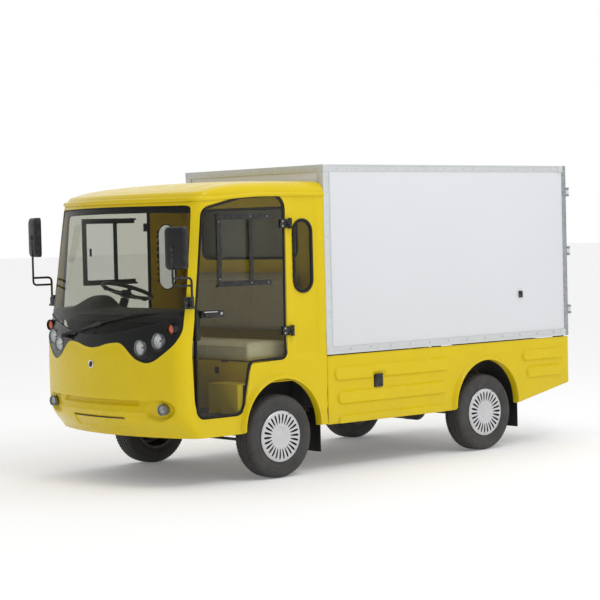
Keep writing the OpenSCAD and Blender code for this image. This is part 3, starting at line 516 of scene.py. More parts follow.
YELLOW = material("yellow_gelcoat", (0.715, 0.535, 0.002), 0.24, coat=0.08, shine=0.22, vary=0.02,
                  rough_vary=0.05, scale=4, bump=0.012, grain=60, dirt=0.15, edge=0)
YELLOW_IN = material("yellow_inside", (0.74, 0.56, 0.004), 0.55, vary=0.06, shine=0.2, bump=0.2, grain=120)
MASK = material("mask_gloss_black", (0.007, 0.0075, 0.008), 0.16, coat=0.05, vary=0.15, rough_vary=0.05,
                shine=0.3)
TRIM = material("trim_black", (0.010, 0.010, 0.0105), 0.42, vary=0.2, shine=0.35, bump=0.25, grain=900,
                wear=(0.09, 0.09, 0.09))
RUBBER = material("seal_rubber", (0.009, 0.009, 0.0095), 0.6, shine=0.3, vary=0.25, bump=0.2, grain=700)
DASH = material("dashboard_grained", (0.012, 0.012, 0.013), 0.55, vary=0.12, bump=0.25, grain=520)
TYRE = material("tyre_rubber", (0.040, 0.039, 0.039), 0.72, vary=0.22, bump=0.5, grain=260, dirt=0.10,
                edge=0.001)
SILVER = material("wheel_silver", (0.60, 0.60, 0.62), 0.34, metal=0.55, coat=0.3, vary=0.05, dirt=0.15)
CHASSIS = material("chassis_black", (0.018, 0.018, 0.019), 0.5, vary=0.3, bump=0.3, grain=180, dirt=0.6,
                   wear=(0.12, 0.07, 0.04))
WHITE = material("box_white", (0.72, 0.735, 0.765), 0.40, coat=0.10, vary=0.008, rough_vary=0.03, scale=2,
                 bump=0.012, grain=40, edge=0)
ALU = material("extruded_aluminium", (0.62, 0.64, 0.645), 0.40, metal=0.35, vary=0.03, rough_vary=0.04,
               scale=14, bump=0.03, grain=500)
POST = material("rear_post_grey", (0.30, 0.32, 0.33), 0.42, metal=0.5, vary=0.1, wear=(0.5, 0.5, 0.5))
ZINC = material("zinc_plate", (0.55, 0.55, 0.54), 0.35, metal=0.9, vary=0.12, scale=40)
CHROME = material("chrome", (0.86, 0.86, 0.87), 0.08, metal=1.0, vary=0.02, rough_vary=0.03)
REFLECTOR = material("lamp_reflector", (0.80, 0.82, 0.84), 0.30, metal=0.4, vary=0.06, bump=0.4, grain=240)
BEZEL = material("lamp_bezel", (0.20, 0.21, 0.23), 0.30, metal=0.6, coat=0.4, vary=0.08)
STEEL_PAD = material("control_steel", (0.05, 0.05, 0.05), 0.5, vary=0.2, wear=(0.3, 0.3, 0.3))
BATTERY = material("battery_case", (0.05, 0.06, 0.08), 0.6, vary=0.15, bump=0.3)
CARPET = material("floor_mat", (0.03, 0.03, 0.032), 0.85, vary=0.3, bump=1.0, grain=700)
CREAM = material("seat_vinyl_cream", (0.82, 0.79, 0.64), 0.46, vary=0.05, bump=0.5, grain=420, scale=14)
BEIGE = material("backrest_vinyl_beige", (0.42, 0.38, 0.29), 0.5, vary=0.06, bump=0.5, grain=420, scale=14)
AMBER = material("amber_lens", (0.62, 0.10, 0.02), 0.18, coat=0.6, vary=0.1, bump=0.5, grain=260)
RED = material("red_lens", (0.42, 0.01, 0.01), 0.2, coat=0.6, vary=0.1, bump=0.5, grain=260)
DIAL = material("dial_face", (0.02, 0.02, 0.02), 0.3, vary=0.1)
GLASS = clear("cab_glass", (0.765, 0.77, 0.745), 0.75)
DOOR_GLASS = clear("door_glass", (0.85, 0.85, 0.80), 0.8)
PLASTIC_PANE = clear("sliding_pane", (0.88, 0.885, 0.87))
LENS = clear("lamp_lens", (0.96, 0.96, 0.95), 1.6)
MIRROR = material("mirror_silver", (0.80, 0.82, 0.84), 0.03, metal=1.0, vary=0.01, rough_vary=0.01, edge=0)

# ------------------------------------------------------------------ the cab's form

RC = 100 * MM                       # corner radius in plan
TURN = radians(70)                  # how far the corner turns before the bowed nose
BOW = 1.785                         # radius of the nose's bow
CY = NOSE + 0.227                   # where the flat side starts
CX = HALF_W - RC
X1 = CX + RC * cos(TURN)
L1 = X1 + X1 ** 3 / (6 * BOW ** 2)
L2 = L1 + RC * TURN
RAKE, TUCK, CHIN = tan(radians(10)), tan(radians(12)), tan(radians(40))
RAKE_Z, TUCK_Z, CHIN_Z = 0.90, 0.56, 0.44
GLASS_TOP = 1.840
GUTTER = 1.913
SHELL = 6 * MM


def lean(z):
    """How far back the form sits at height z."""
    return (RAKE * ramp(z - RAKE_Z, 0.07) + TUCK * ramp(TUCK_Z - z, 0.03)
            + (CHIN - TUCK) * ramp(CHIN_Z - z, 0.03))


def plan(s):
    a = abs(s)
    if a <= L1:
        x = a - a ** 3 / (6 * BOW ** 2)
        return copysign(x, s), NOSE + x * x / (2 * BOW)
    if a <= L2:
        t = TURN - (a - L1) / RC
        return copysign(CX + RC * cos(t), s), CY - RC * sin(t)
    return copysign(HALF_W, s), CY + a - L2


def base(s, z):
    x, y = plan(s)
    return Vector((x, y + lean(z), z))


def skin(s, z, push=0.0):
    """A point on the cab's form, pushed outwards by push."""
    p = base(s, z)
    if not push:
        return p
    e = 0.002
    n = (base(s + e, z) - base(s - e, z)).cross(base(s, z + e) - base(s, z - e))
    return p + n.normalized() * push


def s_of_x(x):
    a = abs(x)
    if a <= X1:
        return copysign(a + a ** 3 / (6 * BOW ** 2), x)
    return copysign(L1 + RC * (TURN - acos(min(1, (a - CX) / RC))), x)


def s_of_y(y, z):
    d = y - CY - lean(z)
    return L2 + d if d >= 0 else L2 - RC * asin(min(1, -d / RC))


def roof_edge(x):
    a = abs(x)
    y = NOSE + a * a / (2 * BOW) if a <= X1 else CY - sqrt(max(0, RC ** 2 - (a - CX) ** 2))
    return y + lean(GLASS_TOP)


def roof_height(x, y):
    d = max(0.0, y - roof_edge(x))
    along = (GLASS_TOP + 0.066 * (1 - exp(-d / 0.032)) + 0.120 * (1 - exp(-d / 0.42))
             + 0.007 * exp(-((d - 0.055) / 0.022) ** 2))
    a = min(abs(x), HALF_W)
    across = ROOF - 0.022 * (min(a, CX) / CX) ** 2
    if a > CX:
        across -= (across - GUTTER) * (1 - sqrt(max(0, 1 - ((a - CX) / RC) ** 2)))
    return smin(along, across, 0.03)


def skin_top(s):
    z = GLASS_TOP
    for _ in range(12):
        p = base(s, z)
        z = mix(z, roof_height(p.x, p.y), 0.7)
    return z


# outlines on the form: doors, windows, arches, the front opening
DOOR = mm((-1708, 450, 60), (-1704, 1130, 500), (-1628, 1812, 75), (-1290, 1888, 500), (-918, 1904, 100),
        (-925, 797, 50), (-1245, 788, 35), (-1315, 450, 80))
DOOR_EDGE = rounded(DOOR)
if clockwise(DOOR_EDGE):
    DOOR_EDGE.reverse()
ARCH_R = 0.337                      # wheel opening: radius, height and place of its centre
ARCH_Z = 0.337
ARCH_DY = 0.020
FRONT_LOW = mm((742, 1106), (741, 1030), (722, 965), (690, 922), (630, 874), (565, 833), (500, 820),
        (430, 840), (385, 870), (330, 918), (290, 942), (250, 949), (160, 939), (80, 920), (0, 911))
MASK_TOP = mm((0, 996), (150, 1001), (300, 1021), (450, 1048), (600, 1080), (742, 1122))
LAMPS = [(0.456, 0.918, 0.052), (0.591, 0.963, 0.052)]
SIGNAL = (0.683, 1.040, 0.038)
FOG = (0.615, 0.520, 0.036)
LAMP_FRONT = {0.456: NOSE + 0.070, 0.591: NOSE + 0.115, 0.683: NOSE + 0.153, 0.615: NOSE + 0.112}


def to_s(points):
    return [(s_of_x(x), z) for x, z in points]


def mirrored(half):
    """Closed outline from its right half, given from the bottom centre up and back to the top centre."""
    return half + [(-u, v) for u, v in reversed(half) if u > 1e-6]


def front_opening():
    low = spline(list(reversed(to_s(FRONT_LOW))), 5)
    edge = mm((741.8, 1150), (739.5, 1300), (731, 1550), (720, 1780), (716, 1816), (706, 1827), (680, 1833),
              (300, 1837))
    return mirrored(low + to_s(edge) + [(0, GLASS_TOP - 0.002)])


def on_side(points, side):
    out = [(side * s_of_y(y, z), z) for y, z in points]
    return out if side > 0 else list(reversed(out))


def arch_points(y, r):
    """Half circle over a wheel, front to back, with its straight feet."""
    c = y + ARCH_DY
    arc = [(c - r * cos(pi * k / 28), ARCH_Z + r * sin(pi * k / 28)) for k in range(29)]
    return [(c - r, SILL)] + arc + [(c + r, SILL)]


def cab_outline():
    half = [(0, SILL)] + [(s_of_x(x), SILL) for x in (0.2, 0.4, 0.6)]
    half += [(s_of_y(y, z), z) for y, z in arch_points(FRONT_Y, ARCH_R)]
    rear = s_of_y(CAB_REAR, 1.0)
    half += [(rear + lean(1.0) - lean(SILL), SILL)]
    rows = [SILL + k * (GUTTER - SILL) / 12 for k in range(1, 13)]
    half += [(s_of_y(CAB_REAR, z), z) for z in rows]
    s = s_of_y(CAB_REAR, GUTTER)
    while s > 0.02:
        s -= 0.02
        half.append((s, skin_top(s)))
    half.append((0, skin_top(0)))
    return mirrored(half)


def front_relief(s, z):
    """Bumper slot, fog lamp pockets, plate recess and the soft line above them."""
    x = abs(plan(s)[0])
    slot = step(0.612, 0.585, x) * max(0, (z - 0.497) / 0.066) * step(0.580, 0.567, z) if z > 0.497 else 0
    deep = step(0.430, 0.405, x) * step(0.532, 0.540, z) * step(0.572, 0.564, z)
    ex, ez = (x - 0.588) / 0.120, (z - 0.513 - 0.10 * (x - 0.588)) / 0.070
    eye = step(0, 0.45, 1 - abs(ex) ** 1.7 - ez * ez)
    lip = exp(-((1 - abs(ex) ** 1.7 - ez * ez + 0.10) / 0.10) ** 2) * (ez < 0.2)
    plate = (step(0.300 + 0.25 * (0.42 - z), 0.288 + 0.25 * (0.42 - z), x)
             * step(0.372, 0.380, z) * step(0.466, 0.458, z))
    ledge = exp(-((z - 0.492) / 0.009) ** 2) * step(0.50, 0.46, x)
    cut = max(0.024 * min(slot, 1), 0.026 * eye)
    return -cut - 0.016 * deep - 0.009 * plate + 0.006 * (lip + ledge)


def pillar_relief(y, z):
    """Pressed panel behind the door."""
    inside_by = min(y + 0.866, -0.628 - y, z - 0.800, 1.880 - z)
    return -0.006 * step(0.0, 0.012, inside_by)


def cab_point(s, z, edge):
    lip = 0.0035 * exp(-(edge / 0.010) ** 2)
    if abs(s) < L2 + 0.02:
        push = front_relief(s, z)
    else:
        push = pillar_relief(CY + lean(z) + abs(s) - L2, z)
    return skin(s, z, push + lip - 0.0035)


holes = [front_opening()]
OVAL_Y = (-0.844, -0.680)
OVAL_Z = (1.240, 1.726)
OVAL_R = 0.0815
for side in (1, -1):
    holes.append(on_side(offset(DOOR_EDGE, 0.004), side))
    holes.append(on_side(rect(OVAL_Y[0], OVAL_Z[0], OVAL_Y[1], OVAL_Z[1], OVAL_R, 8), side))
    holes.append([(side * s_of_x(u), v) for u, v in circle(FOG[0], FOG[1], FOG[2] + 1 * MM)])
cab = panel("cab_moulding", cab_outline(), holes, cab_point, YELLOW, "chassis", 0.018, SHELL,
            fine=[(-0.72, 0.365, 0.72, 0.60, 0.0075)])
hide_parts("cab_front", "cab_sides")

# roof: its width is laid out round the edge so that the turn-down keeps an even grid

ROOF_GROOVES = (0.0, 0.19, 0.38, 0.57)


def roof_u(x):
    a = min(abs(x), HALF_W)
    return copysign(a if a <= CX else CX + RC * asin((a - CX) / RC), x)


def roof_point(u, y, edge):
    a = abs(u)
    x = copysign(a if a <= CX else CX + RC * sin(min((a - CX) / RC, pi / 2)), u)
    groove = sum(exp(-((a - g) / 0.016) ** 2) for g in ROOF_GROOVES)
    ends = step(-1.60, -1.52, y) * step(-0.60, -0.66, y)
    return Vector((x, y, roof_height(x, y) - 0.007 * groove * ends))


def roof_outline():
    half = []
    s = 0.0
    end = s_of_y(CAB_REAR, GUTTER)
    while s < end:
        p = base(s, skin_top(s))
        half.append((roof_u(p.x), p.y))
        s += 0.02
    half.append((roof_u(HALF_W), CAB_REAR))
    return half + [(-u, v) for u, v in reversed(half) if u > 1e-6]


roof = panel("roof_moulding", roof_outline(), [], roof_point, YELLOW, "chassis", 0.014, SHELL)
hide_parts("cab_roof")

# ------------------------------------------------------------------ arch lips and skirts

def flare(name, y, side, foot):
    """Rolled lip round a wheel opening, from the front foot over the wheel to the back one."""
    c = y + ARCH_DY
    angles = [pi * k / 40 for k in range(41)]
    section = mm((26, -3), (20, 4), (13, 14), (6, 24), (0, 29), (-5.5, 29), (-8, 24), (-8, -28), (-2, -28),
            (-2, -3))
    stations = [(c - ARCH_R, foot, -1, 0)]
    stations += [(c - ARCH_R * cos(a), ARCH_Z + ARCH_R * sin(a), -cos(a), sin(a)) for a in angles]
    stations += [(c + ARCH_R, foot, 1, 0)]
    verts = []
    m = len(section)
    for py, pz, ny, nz in stations:
        fade = step(foot - 0.01, foot + 0.05, pz) if pz < ARCH_Z else 1
        for r, x in section:
            stand = x if x < 0 else x * mix(0.35, 1, fade)
            verts.append((side * (HALF_W + stand), py + ny * r, pz + nz * r))
    n = len(stations)
    faces = strip(n, m) + [tuple(range(m)), tuple(reversed(range((n - 1) * m, n * m)))]
    obj = new_object(name, verts, faces, YELLOW, "chassis")
    clean(obj)
    split_edges(obj, 60)


def capsule(y, z, y0, y1, z0, z1):
    """Distance inside a stadium, negative outside."""
    r = (z1 - z0) / 2
    cy = min(max(y, y0 + r), y1 - r)
    return r - hypot(y - cy, z - (z0 + z1) / 2)


RIBS = mm((-505, 640, 612, 712), (-480, 600, 448, 545), (1415, 1895, 628, 714), (1465, 1880, 496, 588))
LOW_RIB = (-0.475, 0.585, 0.300, 0.378)
HATCH_LO, HATCH_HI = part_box("charge_cap")
RIB_H, RIB_EDGE = 0.014, 0.011


def rib_folds():
    """Foot, middle and crest of each rib's edge."""
    loops = []
    for y0, y1, z0, z1 in RIBS + [LOW_RIB]:
        for d in (0.0005, RIB_EDGE / 2, RIB_EDGE):
            loops.append(rect(y0 + d, z0 + d, y1 - d, z1 - d, (z1 - z0) / 2 - d - 0.0002, 9))
    return loops


def skirt_push(y, z):
    push = 0
    for rib in RIBS + [LOW_RIB]:
        push = max(push, RIB_H * step(0.0, RIB_EDGE, capsule(y, z, *rib)))
    near = max(abs(y - (HATCH_LO.y + HATCH_HI.y) / 2) - 0.048, abs(z - (HATCH_LO.z + HATCH_HI.z) / 2) - 0.050)
    return push * step(0.0, 0.020, near)


def skirt_outline():
    low = SKIRT_LO.z
    arch = arch_points(REAR_Y, ARCH_R)
    arch[0] = (arch[0][0], low)
    arch[-1] = (arch[-1][0], low)
    return ([(SKIRT_LO.y + 1 * MM, low)] + arch + [(REAR_Y + ARCH_R + 0.055, low + 0.003),
            (SKIRT_HI.y, 0.437), (SKIRT_HI.y, SKIRT_HI.z), (SKIRT_LO.y + 1 * MM, SKIRT_HI.z)])


for side, tag in SIDES:
    flare("arch_lip_f" + tag, FRONT_Y, side, SILL + 2 * MM)
    flare("arch_lip_r" + tag, REAR_Y, side, SKIRT_LO.z + 2 * MM)

    def skirt_point(y, z, edge, side=side):
        lip = 0.004 * exp(-(edge / 0.008) ** 2)
        return Vector((side * (HALF_W - lip + skirt_push(y, z)), y, z))

    skirt = panel("skirt_" + tag, skirt_outline(), [], skirt_point, YELLOW, "chassis", 0.012, 5 * MM,
                  lines=rib_folds())
    if side < 0:
        skirt.data.flip_normals()
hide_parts("side_skirts")
blocks("skirt_returns", [((s * HALF_W - 0.040 if s > 0 else -HALF_W, SKIRT_LO.y, SKIRT_HI.z - 5 * MM),
                          (s * HALF_W if s > 0 else -HALF_W + 0.040, SKIRT_HI.y, SKIRT_HI.z - 0.5 * MM))
                         for s in (1, -1)], YELLOW, "chassis", 0.001)

LINER_R = ARCH_R - 4 * MM
liner_y = REAR_Y + ARCH_DY
arc = [(liner_y - LINER_R * cos(pi * k / 32), ARCH_Z + LINER_R * sin(pi * k / 32)) for k in range(33)]
arc = [(liner_y - LINER_R, SKIRT_LO.z + 0.02)] + arc + [(liner_y + LINER_R, SKIRT_LO.z + 0.02)]
for side, tag in SIDES:
    sweep("rear_arch_liner_" + tag, [(side * 0.598, y, z) for y, z in arc],
          mm((0, -150), (3, -150), (3, 150), (0, 150)), RUBBER, "chassis", up=ACROSS)
gutter_path = []
ends = s_of_y(CAB_REAR, 1.898)
for k in range(121):
    s = ends * (1 - 2 * k / 120)
    front = step(ends * 0.72, ends * 0.42, abs(s))
    gutter_path.append(skin(s, mix(1.899, 1.872, front), 0.0))
bulge = mm((4, -15), (-4, -13.5), (-8.5, -8), (-10, 0), (-8, 8), (-3, 14), (4, 16))
gutter = sweep("roof_gutter", gutter_path, bulge, YELLOW, "chassis")

# ------------------------------------------------------------------ windscreen, mask and lamps

GLASS_T = 5 * MM


def flat_pane(name, outline, holes, x0, x1, side, mat, body, h=0.08):
    """An upright pane between x0 and x1 on one side of the truck."""
    pane = panel(name, outline, holes, lambda y, z, e: Vector((side * x1, y, z)), mat, body, h, x1 - x0)
    if side < 0:
        pane.data.flip_normals()
    return pane


def mask_outline():
    low = spline(list(reversed(to_s(FRONT_LOW))), 5)
    top = spline(to_s(MASK_TOP), 5)
    return mirrored(low + list(reversed(top)))


def screen_outline():
    low = [(s, z + 0.003) for s, z in spline(to_s(MASK_TOP), 5)]
    edge = mm((740.5, 1150), (738, 1300), (729, 1550), (718, 1778), (714, 1813), (704, 1824), (678, 1830),
              (300, 1834))
    return mirrored(low + to_s(edge) + [(0, GLASS_TOP - 0.005)])


mask_holes = []
for side in (1, -1):
    for x, z, r in LAMPS + [SIGNAL]:
        mask_holes.append([(side * s_of_x(u), v) for u, v in circle(x, z, r + 1 * MM, 40)])
mask = panel("lamp_mask_finish", mask_outline(), mask_holes,
             lambda s, z, e: skin(s, z, -0.006 + 0.002 * step(0.010, 0.0, e)), MASK, "chassis", 0.014,
             GLASS_T)
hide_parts("lamp_mask")
screen = panel("windscreen", screen_outline(), [], lambda s, z, e: skin(s, z, -0.006), GLASS, "chassis",
               0.03, GLASS_T)


def edge_bead(name, outline, place, radius, mat, body):
    """Rubber bead along a closed outline on a surface."""
    path = [place(u, v) for u, v in dense(outline, SEAL_STEP)]
    return tube(name, path, radius, mat, body, closed=True, steps=8)


band_half = to_s(mm((0, 1795), (450, 1792), (722, 1783), (713, 1811), (703, 1822), (677, 1828), (300, 1832)))
panel("windscreen_top_band", mirrored(band_half + [(0, GLASS_TOP - 0.007)]), [],
      lambda s, z, e: skin(s, z, -0.0115), RUBBER, "chassis", 0.03)
edge_bead("windscreen_bead", screen_outline(), lambda s, z: skin(s, z, -0.006), 0.0035, RUBBER, "chassis")
edge_bead("mask_bead", mask_outline(), lambda s, z: skin(s, z, -0.008), 0.0028, RUBBER, "chassis")

for side, tag in SIDES:
    for kind, (x, z, r) in zip(("inner_lamp", "outer_lamp", "signal", "fog_lamp"), LAMPS + [SIGNAL, FOG]):
        place = at(side * x, LAMP_FRONT[x], z, 90)  # local +Z points forwards
        signal = kind == "signal"
        bowl_r = r - 0.009
        lathe(f"{kind}_bezel_{tag}", [(r, -0.030), (r, 0.010), (r - 0.002, 0.0125), (r - 0.006, 0.010),
                                      (bowl_r, 0.001), (bowl_r, -0.030)],
              place, MASK if signal else BEZEL, "chassis", 48, closed=True)
        if signal:
            glass, face = AMBER, [(0.0005, 0.006), (0.012, 0.0055), (0.020, 0.0035), (r - 0.008, 0.000),
                                  (r - 0.008, -0.008), (0.0005, -0.008)]
        else:
            glass, face = LENS, [(0.0005, 0.0045), (0.018, 0.004), (0.030 * r / 0.052, 0.0025),
                                 (bowl_r, 0.000), (bowl_r, -0.002), (0.0005, 0.001)]
            bowl = [(bowl_r * sqrt(1 - k / 8), -0.034 * k / 8) for k in range(1, 8)]
            lathe(f"{kind}_reflector_{tag}", [(bowl_r, 0.001)] + bowl + [(0.004, -0.034)], place, REFLECTOR,
                  "chassis", 14, smooth_angle=8)
            lathe(f"{kind}_bulb_{tag}", mm((0.5, -10), (4, -11), (6, -15), (6, -34)), place, MASK,
                  "chassis", 16)
        lathe(f"{kind}_lens_{tag}", face, place, glass, "chassis", 40)
tail_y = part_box("lamps")[1].y - 0.022
for side, tag in SIDES:
    for z, mat in ((0.640, RED), (0.700, AMBER)):
        place = at(side * 0.660, tail_y, z, -90)
        name = f"{tag}_{int(z * 1000)}"
        lathe("tail_ring_" + name, mm((26, 0), (26, 10), (23, 12), (23, 0)), place, RUBBER, "chassis", 32,
              closed=True)
        lathe("tail_lens_" + name, mm((0.5, 20), (10, 19.5), (18, 16), (22.5, 8), (22.5, 1)),
                               place, mat, "chassis", 32)
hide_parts("lamps")

# round nose badge without any mark
place = at(0, plan(0)[1], 0.802, 90)
lathe("nose_badge_ring", mm((26, -4), (27, 3), (23.5, 5.5), (19.5, 3), (19.5, -4)),
      place, CHROME, "chassis", 40, closed=True)
lathe("nose_badge_disc", mm((0.5, 3.5), (10, 3.5), (19.5, 2), (19.5, -2)), place, MASK,
      "chassis", 40)

# oval and rear windows
OVAL_SEAL = mm((-13, -1), (-11, 4), (-5, 6.5), (3, 6.5), (8, 4), (9, -1), (8, -10), (-12, -10))
OVAL_SEAL_R = mm((-9, -1), (-8, 10), (12, 10), (13, 1), (11, -4), (5, -6.5), (-3, -6.5), (-8, -4))
for side, tag, section in ((1, "l", OVAL_SEAL), (-1, "r", OVAL_SEAL_R)):
    outline = rect(OVAL_Y[0], OVAL_Z[0], OVAL_Y[1], OVAL_Z[1], OVAL_R, 10)
    path = [(side * (HALF_W - 0.002), y, z) for y, z in dense(outline, SEAL_STEP)]
    sweep("oval_seal_" + tag, path, section, RUBBER, "chassis", closed=True, up=ACROSS)
    outline = rect(OVAL_Y[0] + 0.006, 1.246, OVAL_Y[1] - 0.006, 1.720, 0.0755, 8)
    pane = flat_pane("oval_window_" + tag, outline, [], HALF_W - 9 * MM, HALF_W - 4 * MM, side, GLASS,
                     "chassis", 0.04)
back = rect(-0.520, 1.465, 0.520, 1.815, 0.06, 6)
rear_pane = panel("cab_rear_window", offset(back, 0.004), [],
                  lambda x, z, e: Vector((x, BACK_WALL + 0.001, z)), GLASS, "chassis", 0.06, 4 * MM)
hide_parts("fixed_glass")
bead = edge_bead("rear_window_seal", back, lambda x, z: (x, BACK_WALL + 3 * MM, z), 0.010, RUBBER, "chassis")
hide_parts("window_seals")

# ------------------------------------------------------------------ wheels

GROOVES = (-0.040, -0.014, 0.014, 0.040)


def tyre_profile():
    """Bead, sidewall with a raised band, shoulder, and a tread with four grooves."""
    half = mm((168.5, -60), (176, -71.5), (182, -73.5), (196, -77.5), (206, -79.5), (208.5, -81.2),
            (212.5, -81.2), (215, -80), (232, -82.2), (244, -82.2), (256, -79.5), (264, -76.5), (271, -70.5),
            (275.5, -66), (278.5, -59))
    tread = []
    for g in GROOVES:
        tread += [(-0.0045 + g, 0), (-0.0030 + g, -0.007), (0.0030 + g, -0.007), (0.0045 + g, 0)]
    crown = [(TYRE_R - 0.0016 * (h / 0.059) ** 2 + d, h) for h, d in tread]
    inner = mm((168, 52), (205, 64), (240, 67), (266, 45), (266, -45), (240, -67), (205, -64), (168, -52))
    return half + crown + [(r, -h) for r, h in reversed(half)] + inner


SIPES = 72


def tyre(tag, body):
    side = 1 if tag[1] == "l" else -1
    c = AXLES[tag]
    profile = tyre_profile()
    n = len(profile)
    steps = SIPES * 4
    verts = []
    for i in range(steps):
        a = 2 * pi * i / steps
        cut = 0.0045 if i % 4 in (0, 1) else 0
        for r, h in profile:
            shoulder = step(0.036, 0.050, abs(h)) * step(0.262, 0.2745, r)
            rr = r - cut * shoulder if abs(h) > 0.044 and r > 0.262 else r
            verts.append((c.x + side * h, c.y + rr * cos(a), c.z + rr * sin(a)))
    obj = new_object("tyre_finish_" + tag, verts, strip(steps, n, True, True), TYRE, body)
    clean(obj)
    split_edges(obj, 32)
    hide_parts("tyre_" + tag)


FINS = 26                           # blades of the trim, each meshed in columns
COLUMNS = 7
TRIM_FACE = mm((30, 70), (45, 70.5), (56, 73), (64, 76.8), (72, 78.2), (82, 79), (94, 80.5), (108, 82.2),
        (122, 83.4), (134, 84), (144, 83.8), (152, 82.8), (158, 81.5), (163.5, 80), (167.5, 78.8),
        (171.5, 76.5), (173.5, 72))
SLOT_IN, SLOT_OUT = 0.086, 0.154


def wheel_trim(tag, body):
    """Plain dished middle and thin blades between slots, under a smooth rim band."""
    side = 1 if tag[1] == "l" else -1
    c = AXLES[tag]
    verts, faces = [], []
    rings, spokes = len(TRIM_FACE), FINS * COLUMNS
    for k in range(FINS):
        for col in range(COLUMNS):
            for r, h in TRIM_FACE:
                t = min(max((r - SLOT_IN) / (SLOT_OUT - SLOT_IN), 0), 1)
                w = 0.10 + 0.15 * sqrt(max(0, sin(pi * t))) if 0 < t < 1 else 0.08
                place = (-0.5, -(0.5 + w) / 2, -w, -w / 3, w / 3, w, (0.5 + w) / 2)[col]
                a = 2 * pi * (k + place) / FINS
                verts.append((c.x + side * h, c.y + r * cos(a), c.z + r * sin(a)))
    for k in range(FINS):
        for col in range(COLUMNS):
            nxt = (k * COLUMNS + col + 1) % spokes
            for ring in range(rings - 1):
                mid = (TRIM_FACE[ring][0] + TRIM_FACE[ring + 1][0]) / 2
                if col in (2, 3, 4) and SLOT_IN < mid < SLOT_OUT:
                    continue
                a, b = (k * COLUMNS + col) * rings + ring, nxt * rings + ring
                faces.append((a, b, b + 1, a + 1))
    centre_v = len(verts)
    verts.append((c.x + side * 0.0700, c.y, c.z))
    for i in range(spokes):
        faces.append((i * rings, centre_v, ((i + 1) % spokes) * rings))
    obj = new_object("wheel_trim_" + tag, verts, faces, SILVER, body)
    clean(obj)
    face_out = sum((f.normal.x * f.area for f in obj.data.polygons)) * side
    if face_out < 0:
        obj.data.flip_normals()
    modifier(obj, "SOLIDIFY", thickness=0.0035, offset=-1)
    split_edges(obj, 42)
    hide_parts("rim_" + tag)


def rim(tag, body):
    """Steel rim, disc, drum and hub behind the trim."""
    side = 1 if tag[1] == "l" else -1
    place = at(*AXLES[tag], 90 * side, "Y")
    well = mm((158, -76), (174, -76), (176, -73.5), (167.2, -62), (167.2, -30), (150, -22), (150, 22),
            (167.2, 30), (167.2, 62), (176, 72.5), (174, 75.5), (160, 75.5), (160, 58), (140, 46), (90, 40),
            (62, 46), (62, 56), (30, 58), (22, 50), (22, 24), (60, 22), (140, 16), (146, -26), (158, -60))
    obj = lathe("rim_finish_" + tag, well, place, CHASSIS, body, 72, closed=True)
    lathe("brake_drum_" + tag, mm((22.5, -46), (110, -46), (118, -40), (118, 4), (112, 10), (46, 14),
            (46, 22), (22.5, 22)), place, CHASSIS, body, 56, closed=True)
    turns = [2 * pi * k / 4 + 0.4 for k in range(4)]
    nuts = [AXLES[tag] + Vector((side * 0.047, 0.078 * cos(a), 0.078 * sin(a))) for a in turns]
    domes("wheel_nuts_" + tag, [(spot, (side, 0, 0)) for spot in nuts], 0.011, 0.014, ZINC, body, 6)
    valve = AXLES[tag] + Vector((side * 0.0815, 0.165 * cos(1.1), 0.165 * sin(1.1)))
    tube("valve_" + tag, [valve, valve + Vector((side * 0.004, 0, 0))], 0.003, RUBBER, body, steps=8)


for tag in AXLES:
    tyre(tag, "wheel_" + tag)
    rim(tag, "wheel_" + tag)
    wheel_trim(tag, "wheel_" + tag)

# ------------------------------------------------------------------ cab doors

DOOR_IN, DOOR_OUT = (corner.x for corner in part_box("door_glass_l"))
VENT_Y0, VENT_Y1 = -1.508, -1.046
VENT_Z0, VENT_Z1 = 1.298, 1.772
VENT_MID = -1.236
VENT_BAR = 0.036


def side_box(side, low, high):
    (x0, y0, z0), (x1, y1, z1) = low, high
    return ((min(side * x0, side * x1), y0, z0), (max(side * x0, side * x1), y1, z1))


